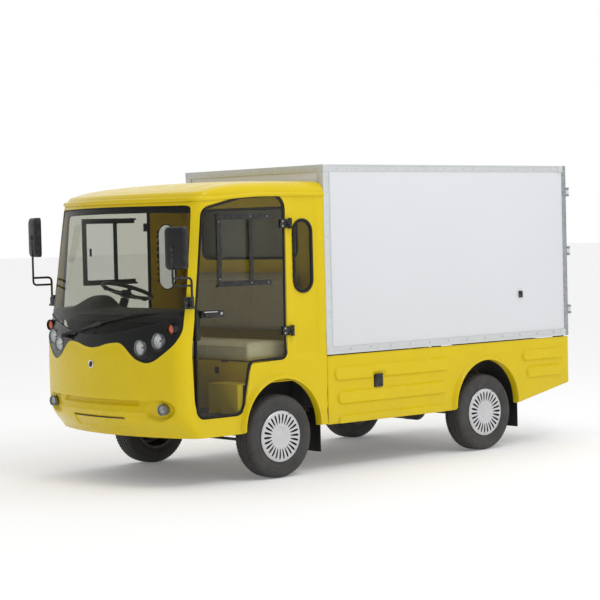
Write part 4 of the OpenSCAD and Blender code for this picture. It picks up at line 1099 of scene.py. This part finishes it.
for side, tag in SIDES:
    body = "door_" + tag
    glass_edge = offset(DOOR_EDGE, -0.0125)
    hole = rect(VENT_Y0 + VENT_BAR, VENT_Z0 + VENT_BAR, VENT_MID, VENT_Z1 - VENT_BAR, 0.01, 2)
    pane = flat_pane("door_pane_" + tag, glass_edge, [hole], DOOR_IN, DOOR_OUT, side, DOOR_GLASS, body)
    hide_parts("door_glass_" + tag)
    # rubber edge: a soft channel that grips the pane, and the shell's own seal beside it
    path = [(side * (DOOR_IN + 3 * MM), y, z) for y, z in dense(offset(DOOR_EDGE, -0.009), SEAL_STEP)]
    grip = [(side * u, side * v)
            for u, v in mm((-7.5, -6), (-8, 3), (-5, 6.5), (2, 6.5), (6, 4.5), (7, -2), (6, -6))]
    seal = sweep("door_seal_" + tag, path, grip, RUBBER, body, closed=True, up=ACROSS)
    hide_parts("door_frame_" + tag)
    path = [(side * (HALF_W - 4 * MM), y, z) for y, z in dense(offset(DOOR_EDGE, 0.0030), SEAL_STEP)]
    lip = [(-side * u, side * v) for u, v in mm((-2.2, -10), (-2, 4), (0.5, 3), (0.5, -10))]
    sweep("doorway_seal_" + tag, path, lip, RUBBER, "chassis", closed=True, up=ACROSS)
    # sliding window frame: outer bars with rounded corners, lower and upper tracks
    x0, x1 = DOOR_OUT, HALF_W + 4 * MM
    bar_y, bar_z = VENT_Y0 + VENT_BAR - 1 * MM, VENT_Z1 - VENT_BAR
    bars = [((x0, VENT_Y0, VENT_Z0), (x1, VENT_Y0 + VENT_BAR, VENT_Z1)),
            ((x0, VENT_MID, VENT_Z0 + VENT_BAR - 1 * MM), (x1, VENT_MID + VENT_BAR * 0.9, bar_z + 1 * MM)),
            ((x0, bar_y, VENT_Z0), (x1, VENT_Y1, VENT_Z0 + VENT_BAR)),
            ((x0, bar_y, bar_z), (x1, VENT_Y1, VENT_Z1))]
    rails = [((DOOR_IN - 14 * MM, VENT_Y0, VENT_Z0), (DOOR_IN - 11.5 * MM, VENT_Y1, VENT_Z0 + 14 * MM)),
             ((DOOR_IN - 14 * MM, VENT_Y0, VENT_Z0), (DOOR_IN, VENT_Y1, VENT_Z0 + 13 * MM)),
             ((DOOR_IN - 14 * MM, VENT_Y0, VENT_Z1 - 13 * MM), (DOOR_IN, VENT_Y1, VENT_Z1))]
    frame_obj = blocks("vent_frame_" + tag, [side_box(side, *b) for b in bars + rails], TRIM, body, 0.003, 3)
    screws = [(VENT_Y0 + 0.018, VENT_Z0 + 0.05), (VENT_Y0 + 0.018, VENT_Z1 - 0.05)]
    screws += [(y, z) for y in (VENT_Y1 - 0.03, VENT_MID + 0.016) for z in (VENT_Z0 + 0.018, VENT_Z1 - 0.018)]
    domes("vent_screws_" + tag, [((side * x1, y, z), (side, 0, 0)) for y, z in screws], 0.004, 0.002, ZINC,
          body)
    # hinge straps that clamp the pane, with their bolts
    hx, hy = HALF_W + 18 * MM, -0.886
    plate_in, plate_out = HALF_W + 1 * MM, HALF_W + 9 * MM
    straps, bolts = [], []
    for z in (0.984, 1.703):
        straps += [((plate_in, hy - 0.075, z - 0.030), (plate_out, hy - 0.014, z + 0.030)),
                   ((plate_in, hy - 0.020, z - 0.0178), (hx, hy - 0.001, z + 0.0178)),
                   ((DOOR_IN - 6 * MM, hy - 0.075, z - 0.030), (DOOR_IN, hy - 0.042, z + 0.030))]
        bolts += [((side * plate_out, hy - 0.058, z + dz), (side, 0, 0)) for dz in (-0.016, 0.016)]
        lathe(f"hinge_knuckle_{tag}_{int(z * 1000)}", mm((6.2, -18), (13, -18), (13, 18), (6.2, 18)),
              at(side * hx, hy, z), TRIM, body, 28, closed=True)
    blocks("hinge_straps_" + tag, [side_box(side, *b) for b in straps], TRIM, body, 0.002)
    domes("hinge_bolts_" + tag, bolts, 0.007, 0.005, ZINC, body, 6)
    # latch plate and the paddle under it
    latch_x = HALF_W + 10 * MM
    plate = [((plate_in, -1.657, 1.104), (latch_x, -1.464, 1.150)),
             ((DOOR_IN - 22 * MM, -1.640, 1.100), (DOOR_IN, -1.560, 1.150))]
    plate += [((latch_x, y, 1.131), (HALF_W + 24 * MM, y + 0.011, 1.149)) for y in (-1.652, -1.529)]
    blocks("latch_plate_" + tag, [side_box(side, *b) for b in plate], TRIM, body, 0.003, 3)
    lathe("latch_lock_" + tag, mm((0.5, 2.5), (3, 2.5), (3.5, 1.5), (8, 2), (9.5, 0)),
          at(side * latch_x, -1.490, 1.127, 90 * side, "Y"),
          ZINC, body, 24)
    paddle = blocks("handle_paddle_" + tag, [side_box(side, (HALF_W + 12.5 * MM, -1.635, 1.108),
                    (HALF_W + 20 * MM, -1.535, 1.142))], TRIM, "door_handle_" + tag, 0.003, 3)
    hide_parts("door_handle_" + tag)
    tube("handle_pin_" + tag, [(side * (HALF_W + 17 * MM), y, 1.140) for y in (-1.651, -1.519)], 0.004, ZINC,
         "door_handle_" + tag, steps=16)
    # sliding pane with its small black pull
    low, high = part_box("sliding_pane_" + tag)
    x_in, x_out = (low.x, high.x) if side > 0 else (-high.x, -low.x)
    slider = flat_pane("slider_" + tag, rect(low.y, low.z, high.y, high.z, 0.006, 3), [], x_in, x_out, side,
                       PLASTIC_PANE, "sliding_pane_" + tag)
    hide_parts("sliding_pane_" + tag)
    pull = side_box(side, (x_in - 9 * MM, -1.4635, 1.505), (x_in, -1.4465, 1.560))
    blocks("slider_pull_" + tag, [pull], TRIM, "sliding_pane_" + tag, 0.003, 3)

# ------------------------------------------------------------------ cargo box

refine("box_panels", WHITE, 0.0015)
refine("box_trim", ALU, 0.0012)
refine("box_rear_frame", POST, 0.0015)
BX, BY0, BY1 = TRIM_HI.x, TRIM_LO.y, BOX_REAR
BZ0, BZ1 = TRIM_LO.z, TRIM_HI.z

# two-step bottom rail, rolled edge on the top rail, and rivets along every extrusion
y0, y1 = BY0 + 2 * MM, BY1 - 1 * MM
rail_steps = [((BX, y0, BZ0 + 1 * MM), (BX + 4 * MM, y1, BZ0 + 19 * MM)),
              ((BX, y0, BZ0 + 44 * MM), (BX + 1.6 * MM, y1, BZ0 + 51 * MM)),
              ((BX - 1 * MM, y0, BZ1 - 10 * MM), (BX + 1.8 * MM, y1, BZ1 - 1 * MM)),
              ((BX - 1 * MM, BY0 + 52 * MM, BZ0 + 54 * MM), (BX + 0.8 * MM, BY0 + 60 * MM, BZ1 - 50 * MM))]
rails = blocks("box_rail_steps", [side_box(side, *b) for side in (1, -1) for b in rail_steps], ALU, "chassis",
               0.0015, 3)
rivets, bolts = [], []
span = BY1 - BY0
for side in (1, -1):
    for k in range(26):
        y = BY0 + 0.03 + (span - 0.06) * k / 25
        rivets.append(((side * (BX - 1 * MM), y, BZ1 - 29 * MM), (side, 0, 0)))
        if k % 2 == 0:
            bolts.append(((side * BX, y, BZ0 + 32 * MM), (side, 0, 0)))
        rivets.append(((side * (BX - 32 * MM), y, BZ1), (0, 0, 1)))
    for k in range(12):
        z = BZ0 + 0.09 + (BZ1 - BZ0 - 0.18) * k / 11
        rivets.append(((side * (BX - 1 * MM), BY0 + 31 * MM, z), (side, 0, 0)))
        rivets.append(((side * (BX - 32 * MM), BY0, z), (0, -1, 0)))
for k in range(13):
    x = -BX + 0.07 + (2 * BX - 0.14) * k / 12
    rivets.append(((x, BY0, BZ1 - 27 * MM), (0, -1, 0)))
domes("box_rivets", rivets, 0.0048, 0.0022, ZINC, "chassis")
domes("rear_post_rivets", [((side * HALF_W, REAR_FACE - 28 * MM, BZ0 + 0.07 + 0.0965 * k), (side, 0, 0))
                           for side in (1, -1) for k in range(13)], 0.0055, 0.0016, WHITE, "chassis")
domes("box_rail_bolts", bolts, 0.0075, 0.0045, ZINC, "chassis", 6)

# pressed corner caps
caps = [side_box(side, (BX - 0.020, y0, z0), (BX + stand, y0 + 0.052, z1))
        for side in (1, -1) for y0 in (BY0 - 1.5 * MM, BY1 - 0.045)
        for z0, z1, stand in ((BZ1 - 0.052, BZ1, 2.4 * MM), (BZ0, BZ0 + 0.050, 4.5 * MM))]
blocks("box_corner_caps", caps, ALU, "chassis", 0.004, 3)

# rear doors: framed panels, gear and hinge straps
for side, tag in SIDES:
    door = refine("rear_door_" + tag, WHITE, 0.0015)
    low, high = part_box("rear_door_" + tag)
    body = "rear_door_" + tag
    y, bar_y = REAR_FACE, REAR_FACE + 2.2 * MM
    z0, z1 = low.z, high.z
    x_in, x_out = 3 * MM, 3 * MM + 0.707
    frame_bars = [((x_in, y, z0), (x_in + 0.030, bar_y, z1)), ((x_out - 0.030, y, z0), (x_out, bar_y, z1)),
                  ((x_in + 0.030, y, z0), (x_out - 0.030, bar_y, z0 + 0.032)),
                  ((x_in + 0.030, y, z1 - 0.032), (x_out - 0.030, bar_y, z1))]
    blocks("rear_door_frame_" + tag, [side_box(side, *b) for b in frame_bars], ALU, body, 0.0008)
    seal = side_box(side, (x_in - 1.2 * MM, y - 20 * MM, z0 + 1 * MM), (x_in, y - 1 * MM, z1 - 1 * MM))
    blocks("rear_door_seal_" + tag, [seal], RUBBER, body, 0.0004)
    spots = [(x, z0 + 0.05 + (z1 - z0 - 0.10) * k / 8)
             for k in range(9) for x in (x_in + 0.015, x_out - 0.015)]
    spots += [(mix(x_in + 0.07, x_out - 0.07, k / 4), z) for k in range(5) for z in (z0 + 0.016, z1 - 0.016)]
    domes("rear_door_rivets_" + tag, [((side * x, bar_y, z), (0, 1, 0)) for x, z in spots], 0.004, 0.002, ALU,
          body)
    door.data.materials.append(ZINC)
    for face in door.data.polygons:
        if face.center.y > y + 1 * MM:
            face.material_index = 1
    domes("rear_hinge_bolts_" + tag, [((side * (HALF_W - dx), y + 6 * MM, z), (0, 1, 0))
                                      for dx in (0.150, 0.105, 0.062)
                                      for z in (BZ0 + 0.200, BZ0 + 0.650, BZ1 - 0.200)],
          0.006, 0.0045, ZINC, body, 6)
    refine("lock_rod_" + tag, ZINC, 0.0012)


# ------------------------------------------------------------------ helpers for the fittings

def loft(name, rings, mat, body, angle=40):
    """A closed form through rings with equal numbers of points."""
    verts = [Vector(p) for ring in rings for p in ring]
    n = len(rings[0])
    faces = strip(len(rings), n)
    for k, flip in ((0, True), (len(rings) - 1, False)):
        middle = sum((Vector(p) for p in rings[k]), Vector()) / n
        verts.append(middle)
        hub = len(verts) - 1
        for i in range(n):
            a, b = k * n + i, k * n + (i + 1) % n
            faces.append((hub, b, a) if flip else (hub, a, b))
    obj = new_object(name, verts, faces, mat, body)
    clean(obj)
    split_edges(obj, angle)
    return obj


def bend(points, r, n=7):
    """An open path whose corners are rounded."""
    points = [Vector(p) for p in points]
    out = [points[0]]
    for a, p, b in zip(points, points[1:], points[2:]):
        cut = min(r, (a - p).length * 0.5, (b - p).length * 0.5)
        start, end = p + (a - p).normalized() * cut, p + (b - p).normalized() * cut
        for t in (k / n for k in range(n + 1)):
            out.append(start * (1 - t) ** 2 + p * 2 * t * (1 - t) + end * t * t)
    return out + [points[-1]]


# ------------------------------------------------------------------ mirrors

for side, tag in SIDES:
    body = body_of("mirror_head_" + tag)
    middle = centre("mirror_head_" + tag)
    turn = at(*middle, 15 * side, "Z")
    w, h, d = 0.0825, 0.1375, 0.025

    def mirror_rings(*stations):
        return [[turn @ Vector((u, depth, v))
                 for u, v in rect(-w + inset, -h + inset, w - inset, h - inset, r, 6)]
                for depth, inset, r in stations]

    shell = loft("mirror_shell_" + tag, mirror_rings(
        (d, 0.011, 0.016), (d - 0.003, 0.0105, 0.018), (d, 0.006, 0.02), (d - 0.002, 0.001, 0.024),
        (d - 0.008, 0.0, 0.025), (-0.004, 0.0015, 0.026), (-0.014, 0.006, 0.028), (-0.020, 0.014, 0.030),
        (-0.0235, 0.027, 0.034), (-0.025, 0.046, 0.030)), TRIM, body)
    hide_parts("mirror_head_" + tag)
    loft("mirror_glass_" + tag, mirror_rings((d - 0.0045, 0.0112, 0.016), (d - 0.0020, 0.0112, 0.016),
                                             (d - 0.0016, 0.0125, 0.016), (d - 0.0012, 0.03, 0.016)),
         MIRROR, body)
    arm_body = body_of("mirror_arm_" + tag)
    ax, post_y, head_y = 0.792 * side, -1.753, -1.905
    outer = bend([(ax, post_y, 1.190), (ax, post_y, 1.368), (ax, head_y + 0.006, 1.368)], 0.034)
    inner = bend([(ax, post_y, 1.300), (ax, post_y, 1.318), (ax, head_y, 1.318),
                  (ax, head_y, middle.z + 0.020)], 0.030)
    bars = tube("mirror_arm_outer_" + tag, outer, 0.0078, TRIM, arm_body, steps=16)
    tube("mirror_arm_inner_" + tag, inner, 0.0072, TRIM, arm_body, steps=16)
    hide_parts("mirror_arm_" + tag)
    lathe("mirror_arm_foot_" + tag, mm((7.8, -22), (12, -22), (14, -20), (14, 19), (11, 24), (7.8, 25)),
          at(ax, post_y, 1.206), TRIM, arm_body, 28, closed=True)
    lathe("mirror_clamp_" + tag, mm((0, -15), (12.5, -15), (14, -13), (14, 13), (12.5, 15), (0, 15)),
          at(ax, head_y, middle.z), TRIM, body, 24)

# ------------------------------------------------------------------ dashboard, controls, floor

DASH_REAR, DASH_TOP, DASH_LOW = -1.629, 1.150, 0.955


def dash_ring(x):
    """Section of the dashboard at x, with the hood that rises ahead of the driver."""
    front = skin(s_of_x(x), 1.115, -0.0125).y
    hump = 0.082 * exp(-(abs(x + 0.32) / 0.155) ** 3.2)

    def top(y):
        return (DASH_TOP + hump * step(-1.90, -1.68, y) + 0.012 * step(front, DASH_REAR, y)
                - 0.020 * step(-1.80, -1.95, y))

    lip = 0.024
    ring = [(front, 1.090), (front, 1.118)]
    ring += [(y, top(y)) for y in (mix(front + 0.006, DASH_REAR - lip, k / 13) for k in range(14))]
    peak = top(DASH_REAR - lip) - lip
    for a in (22, 45, 68, 90):
        ring.append((DASH_REAR - lip + lip * sin(radians(a)), peak + lip * cos(radians(a))))
    ring += [(DASH_REAR, mix(peak, DASH_LOW + 0.02, t)) for t in (0.25, 0.5, 0.75)]
    ring += [(DASH_REAR - 0.002, DASH_LOW + 0.012), (DASH_REAR - 0.012, DASH_LOW),
             (DASH_REAR - 0.028, DASH_LOW), (DASH_REAR - 0.040, DASH_LOW + 0.02),
             (DASH_REAR - 0.062, 1.06), (DASH_REAR - 0.090, 1.075)]
    return [(x, y, z) for y, z in ring]


stations = [-0.715 + 1.43 * k / 84 for k in range(85)]
dash = loft("dashboard_moulding", [dash_ring(x) for x in stations], DASH, "chassis", 50)
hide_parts("dashboard")
refine("steering_column", DASH, 0.003)
refine("steering_wheel", TRIM, 0.003)
refine("horn_button", DASH, 0.003)
for node in ("brake_pedal", "accelerator_pedal"):
    refine(node, STEEL_PAD, 0.002)
refine("parking_brake_lever", TRIM, 0.003)
refine("selector_knob", TRIM, 0.002)

HOOD_Y = DASH_REAR + 0.0005
for k, (x, z, r) in enumerate(((-0.320, 1.192, 0.030), (-0.390, 1.182, 0.018), (-0.250, 1.182, 0.018))):
    spot = at(x, HOOD_Y, z, -90)
    lathe(f"gauge_bezel_{k}", [(r * 0.86, 0.0005), (r * 0.9, 0.004), (r, 0.005), (r * 1.08, 0.003),
                               (r * 1.10, 0.0)], spot, CHROME, "chassis", 40)
    lathe(f"gauge_face_{k}", [(0.0, 0.0012), (r * 0.86, 0.0012), (r * 0.9, 0.0002)], spot, DIAL, "chassis",
          40)
    ticks = []
    for t in range(9):
        a = radians(-120 + 30 * t)
        low = Vector((x + sin(a) * r * 0.72, HOOD_Y + 0.0014, z + cos(a) * r * 0.72))
        ticks.append((low - Vector((0.0009, 0.0002, 0.0009)), low + Vector((0.0009, 0.0006, 0.0009))))
    blocks(f"gauge_ticks_{k}", ticks, WHITE, "chassis", 0.0002)
    tube(f"gauge_needle_{k}", [(x, HOOD_Y + 0.003, z), (x - r * 0.45, HOOD_Y + 0.003, z + r * 0.5)],
         0.0009, AMBER, "chassis", steps=8)
switches = [((-0.100 + 0.045 * k, DASH_REAR - 0.002, 1.060), (-0.066 + 0.045 * k, DASH_REAR + 0.010, 1.088))
            for k in range(5)]
blocks("dash_switches", switches, TRIM, "chassis", 0.003, 3)
slats = [((x0, DASH_REAR - 0.002, z + 0.013 * k), (x1, DASH_REAR + 0.006, z + 0.007 + 0.013 * k))
         for x0, x1, z, count in ((0.260, 0.560, 1.012, 6), (-0.640, -0.500, 1.040, 4)) for k in range(count)]
blocks("dash_vents", slats, TRIM, "chassis", 0.002)

tub = refine("cab_floor", CARPET, 0.003)
tub.data.materials.append(YELLOW_IN)
for face in tub.data.polygons:
    spot = Vector((copysign(0.59, face.center.x), FRONT_Y, 0.30))
    if abs(face.center.x) > 0.437 and face.center.z > 0.456 and face.normal.dot(face.center - spot) > 0:
        face.material_index = 1
blocks("wheel_house_ends", [side_box(side, (0.735, -1.3535, 0.456), (0.7405, -1.308, 0.649))
                            for side in (1, -1)], YELLOW_IN, "chassis", 0.001)
refine("cab_back", YELLOW_IN, 0.001)
refine("seat_base", YELLOW, 0.006)
blocks("seat_base_tabs", [((x - 0.022, -1.1955, 0.700), (x + 0.022, -1.190, 0.745)) for x in (-0.33, 0.33)],
       TRIM, "chassis", 0.002)
ribs = [((-0.42, -1.86 + 0.045 * k, 0.4545), (0.42, -1.838 + 0.045 * k, 0.4585)) for k in range(13)]
blocks("floor_mat_ribs", ribs, CARPET, "chassis", 0.0015)

# ------------------------------------------------------------------ seat and backrest

SHRINK = Vector((6 * MM, 6 * MM, 6 * MM))
VOXEL = 8 * MM
CLOTH_FRAMES = 20


def upholster(name, low, high, radius, swell, rest_axis):
    """A pad blown up by cloth simulation from a slightly smaller form, capped and flat at its back."""
    scene = bpy.context.scene
    low, high = Vector(low), Vector(high)
    bm = cuboids([(low + SHRINK, high - SHRINK)])
    bmesh.ops.bevel(bm, geom=list(bm.edges), offset=radius, segments=5, profile=0.5, affect="EDGES")
    obj = bpy.data.objects.new(name, to_mesh(bm, name))
    scene.collection.objects.link(obj)
    modifier(obj, "REMESH", mode="VOXEL", voxel_size=VOXEL)
    made = evaluated(obj)
    obj.modifiers.clear()
    obj.data = made
    start = [v.co.copy() for v in made.vertices]
    moved = start
    cloth = modifier(obj, "CLOTH")
    cloth.settings.use_pressure = True
    cloth.settings.uniform_pressure_force = 4
    cloth.settings.effector_weights.gravity = 0
    cloth.settings.quality = 5
    cloth.collision_settings.use_collision = False
    cloth.point_cache.frame_start, cloth.point_cache.frame_end = 1, CLOTH_FRAMES
    for number in range(1, CLOTH_FRAMES + 1):
        scene.frame_set(number)
    moved = [v.co.copy() for v in evaluated(obj).vertices]
    obj.modifiers.clear()
    scene.frame_set(1)
    axis, sense = rest_axis
    half, mid = (high - low) / 2, (high + low) / 2
    for v, a, b in zip(made.vertices, start, moved):
        shift = b - a
        if shift.length > swell:
            shift *= swell / shift.length
        p = a + shift
        if (p[axis] - mid[axis]) * sense > half[axis]:
            p[axis] = mid[axis] + sense * half[axis]
        v.co = p
    return obj


def sew(obj, grooves):
    """Press sewn lines into the pad: grooves are (distance function, depth, width)."""
    mesh = obj.data
    normals = [v.normal.copy() for v in mesh.vertices]
    for v, n in zip(mesh.vertices, normals):
        depth = sum(deep * exp(-(far(v.co, n) / wide) ** 2) for far, deep, wide in grooves)
        v.co -= n * depth
    mesh.update()


def finish_pad(obj, node, place, mat):
    modifier(obj, "SUBSURF", levels=1, render_levels=1)
    mesh = evaluated(obj)
    obj.modifiers.clear()
    obj.data = mesh
    mesh.transform(place)
    mesh.materials.clear()
    mesh.materials.append(mat)
    mesh.shade_smooth()
    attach(obj, body_of(node))
    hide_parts(node)


def piping(name, obj, path, mat, body):
    """A cord sewn along the pad's face, laid onto its surface."""
    mesh = obj.data
    tree = BVHTree.FromPolygons([v.co.copy() for v in mesh.vertices],
                                [tuple(p.vertices) for p in mesh.polygons])
    tube(name, [tree.find_nearest(Vector(p))[0] for p in path], 0.0035, mat, body, closed=True, steps=8)


seat = upholster("seat_pad", (-0.680, -1.205, 0.790), (0.680, -0.800, 0.905), 0.026, 0.016, (2, -1))
sew(seat, [(lambda p, n: abs(abs(p.x) - 0.226) if n.z > -0.3 else 9, 0.008, 0.007),
           (lambda p, n: abs(p.y + 1.120) if n.z > 0.3 else 9, 0.007, 0.007)])
finish_pad(seat, "seat_cushion", Matrix(), CREAM)
rim_path = [(u, v, 0.893) for u, v in dense(rect(-0.676, -1.201, 0.676, -0.804, 0.03, 6), SEAL_STEP)]
piping("seat_piping", seat, rim_path, CREAM, body_of("seat_cushion"))

BACK_PLACE = at(0, -0.706, 0.905, -8)
back = upholster("backrest_pad", (-0.600, -0.078, 0.040), (0.600, 0, 0.480), 0.026, 0.016, (1, 1))
sew(back, [(lambda p, n: abs(abs(p.x) - 0.200) if n.y < 0.3 else 9, 0.008, 0.007),
           (lambda p, n: abs(p.z - 0.400) if n.y < -0.3 else 9, 0.007, 0.007)])
finish_pad(back, "seat_backrest", BACK_PLACE, BEIGE)
rim_path = [BACK_PLACE @ Vector((u, -0.068, v))
            for u, v in dense(rect(-0.596, 0.044, 0.596, 0.476, 0.03, 6), SEAL_STEP)]
piping("backrest_piping", back, rim_path, BEIGE, body_of("seat_backrest"))

# ------------------------------------------------------------------ outside fittings and running gear

refine("wiper", TRIM, 0.001)
refine("charge_cap", TRIM, 0.002)
refine("body_fittings", TRIM, 0.0015)
refine("mud_flaps", RUBBER, 0.001)
refine("battery_pack", BATTERY, 0.003)
for node in ("chassis_frame", "front_axle", "rear_axle", "suspension", "knuckle_l", "knuckle_r", "tie_rod"):
    refine(node, CHASSIS, 0.0015)

# ------------------------------------------------------------------ camera, light, floor

CAMERA_AT = (10.3027, -9.2546, 1.6482)
CAMERA_TURN = (48.4695, 2.082, -1.3994)  # azimuth, pitch and roll in degrees
LENS_MM = 113.5


def camera():
    azimuth, pitch, roll = (radians(a) for a in CAMERA_TURN)
    back = Vector((sin(azimuth) * cos(pitch), -cos(azimuth) * cos(pitch), sin(pitch)))
    right = Vector((cos(azimuth), sin(azimuth), 0))
    up = back.cross(right)
    turned = cos(roll) * right + sin(roll) * up
    upright = -sin(roll) * right + cos(roll) * up
    data = bpy.data.cameras.new("camera")
    data.lens = LENS_MM
    data.sensor_width = 36
    cam = bpy.data.objects.new("camera", data)
    grid = Matrix((turned, upright, back)).transposed().to_4x4()
    cam.matrix_world = Matrix.Translation(CAMERA_AT) @ grid
    bpy.context.scene.collection.objects.link(cam)
    bpy.context.scene.camera = cam


def lamp(name, place, aim, size, watts):
    data = bpy.data.lights.new(name, "AREA")
    data.shape = "RECTANGLE"
    data.size, data.size_y = size
    data.energy = watts
    obj = bpy.data.objects.new(name, data)
    obj.location = place
    obj.rotation_euler = (Vector(aim) - Vector(place)).to_track_quat("-Z", "Y").to_euler()
    bpy.context.scene.collection.objects.link(obj)


camera()
lamp("key", (5, -1, 7), (0, 0, 1), (2, 2), 110)
lamp("top", (0, 1, 9), (0, 0, 1), (7, 7), 60)
world = bpy.data.worlds.new("studio")
world.use_nodes = True
sky = world.node_tree
backdrop = sky.nodes["Background"].inputs
backdrop["Color"].default_value = (1, 1, 1, 1)
direction = add_node(sky, "TexCoord", {}, "Generated")
falloff = remap(sky, add_node(sky, "SeparateXYZ", {0: direction}, "Y"), -0.9, 0.3, 0.46, 1.0)
sky.links.new(falloff, backdrop["Strength"])
bpy.context.scene.world = world
bpy.context.scene.view_settings.view_transform = "Standard"

FLOOR_GLOW = 0.14
floor_mat = material("studio_floor", (0.90, 0.90, 0.90), 0.8, vary=0.004, rough_vary=0.02, scale=0.4, edge=0)
glow = floor_mat.node_tree.nodes["Principled BSDF"].inputs
glow["Emission Color"].default_value = (1, 1, 1, 1)
glow["Emission Strength"].default_value = FLOOR_GLOW
bm = bmesh.new()
bmesh.ops.create_grid(bm, x_segments=8, y_segments=8, size=120)
floor = bpy.data.objects.new("floor", to_mesh(bm, "floor"))
floor.data.materials.append(floor_mat)
bpy.context.scene.collection.objects.link(floor)
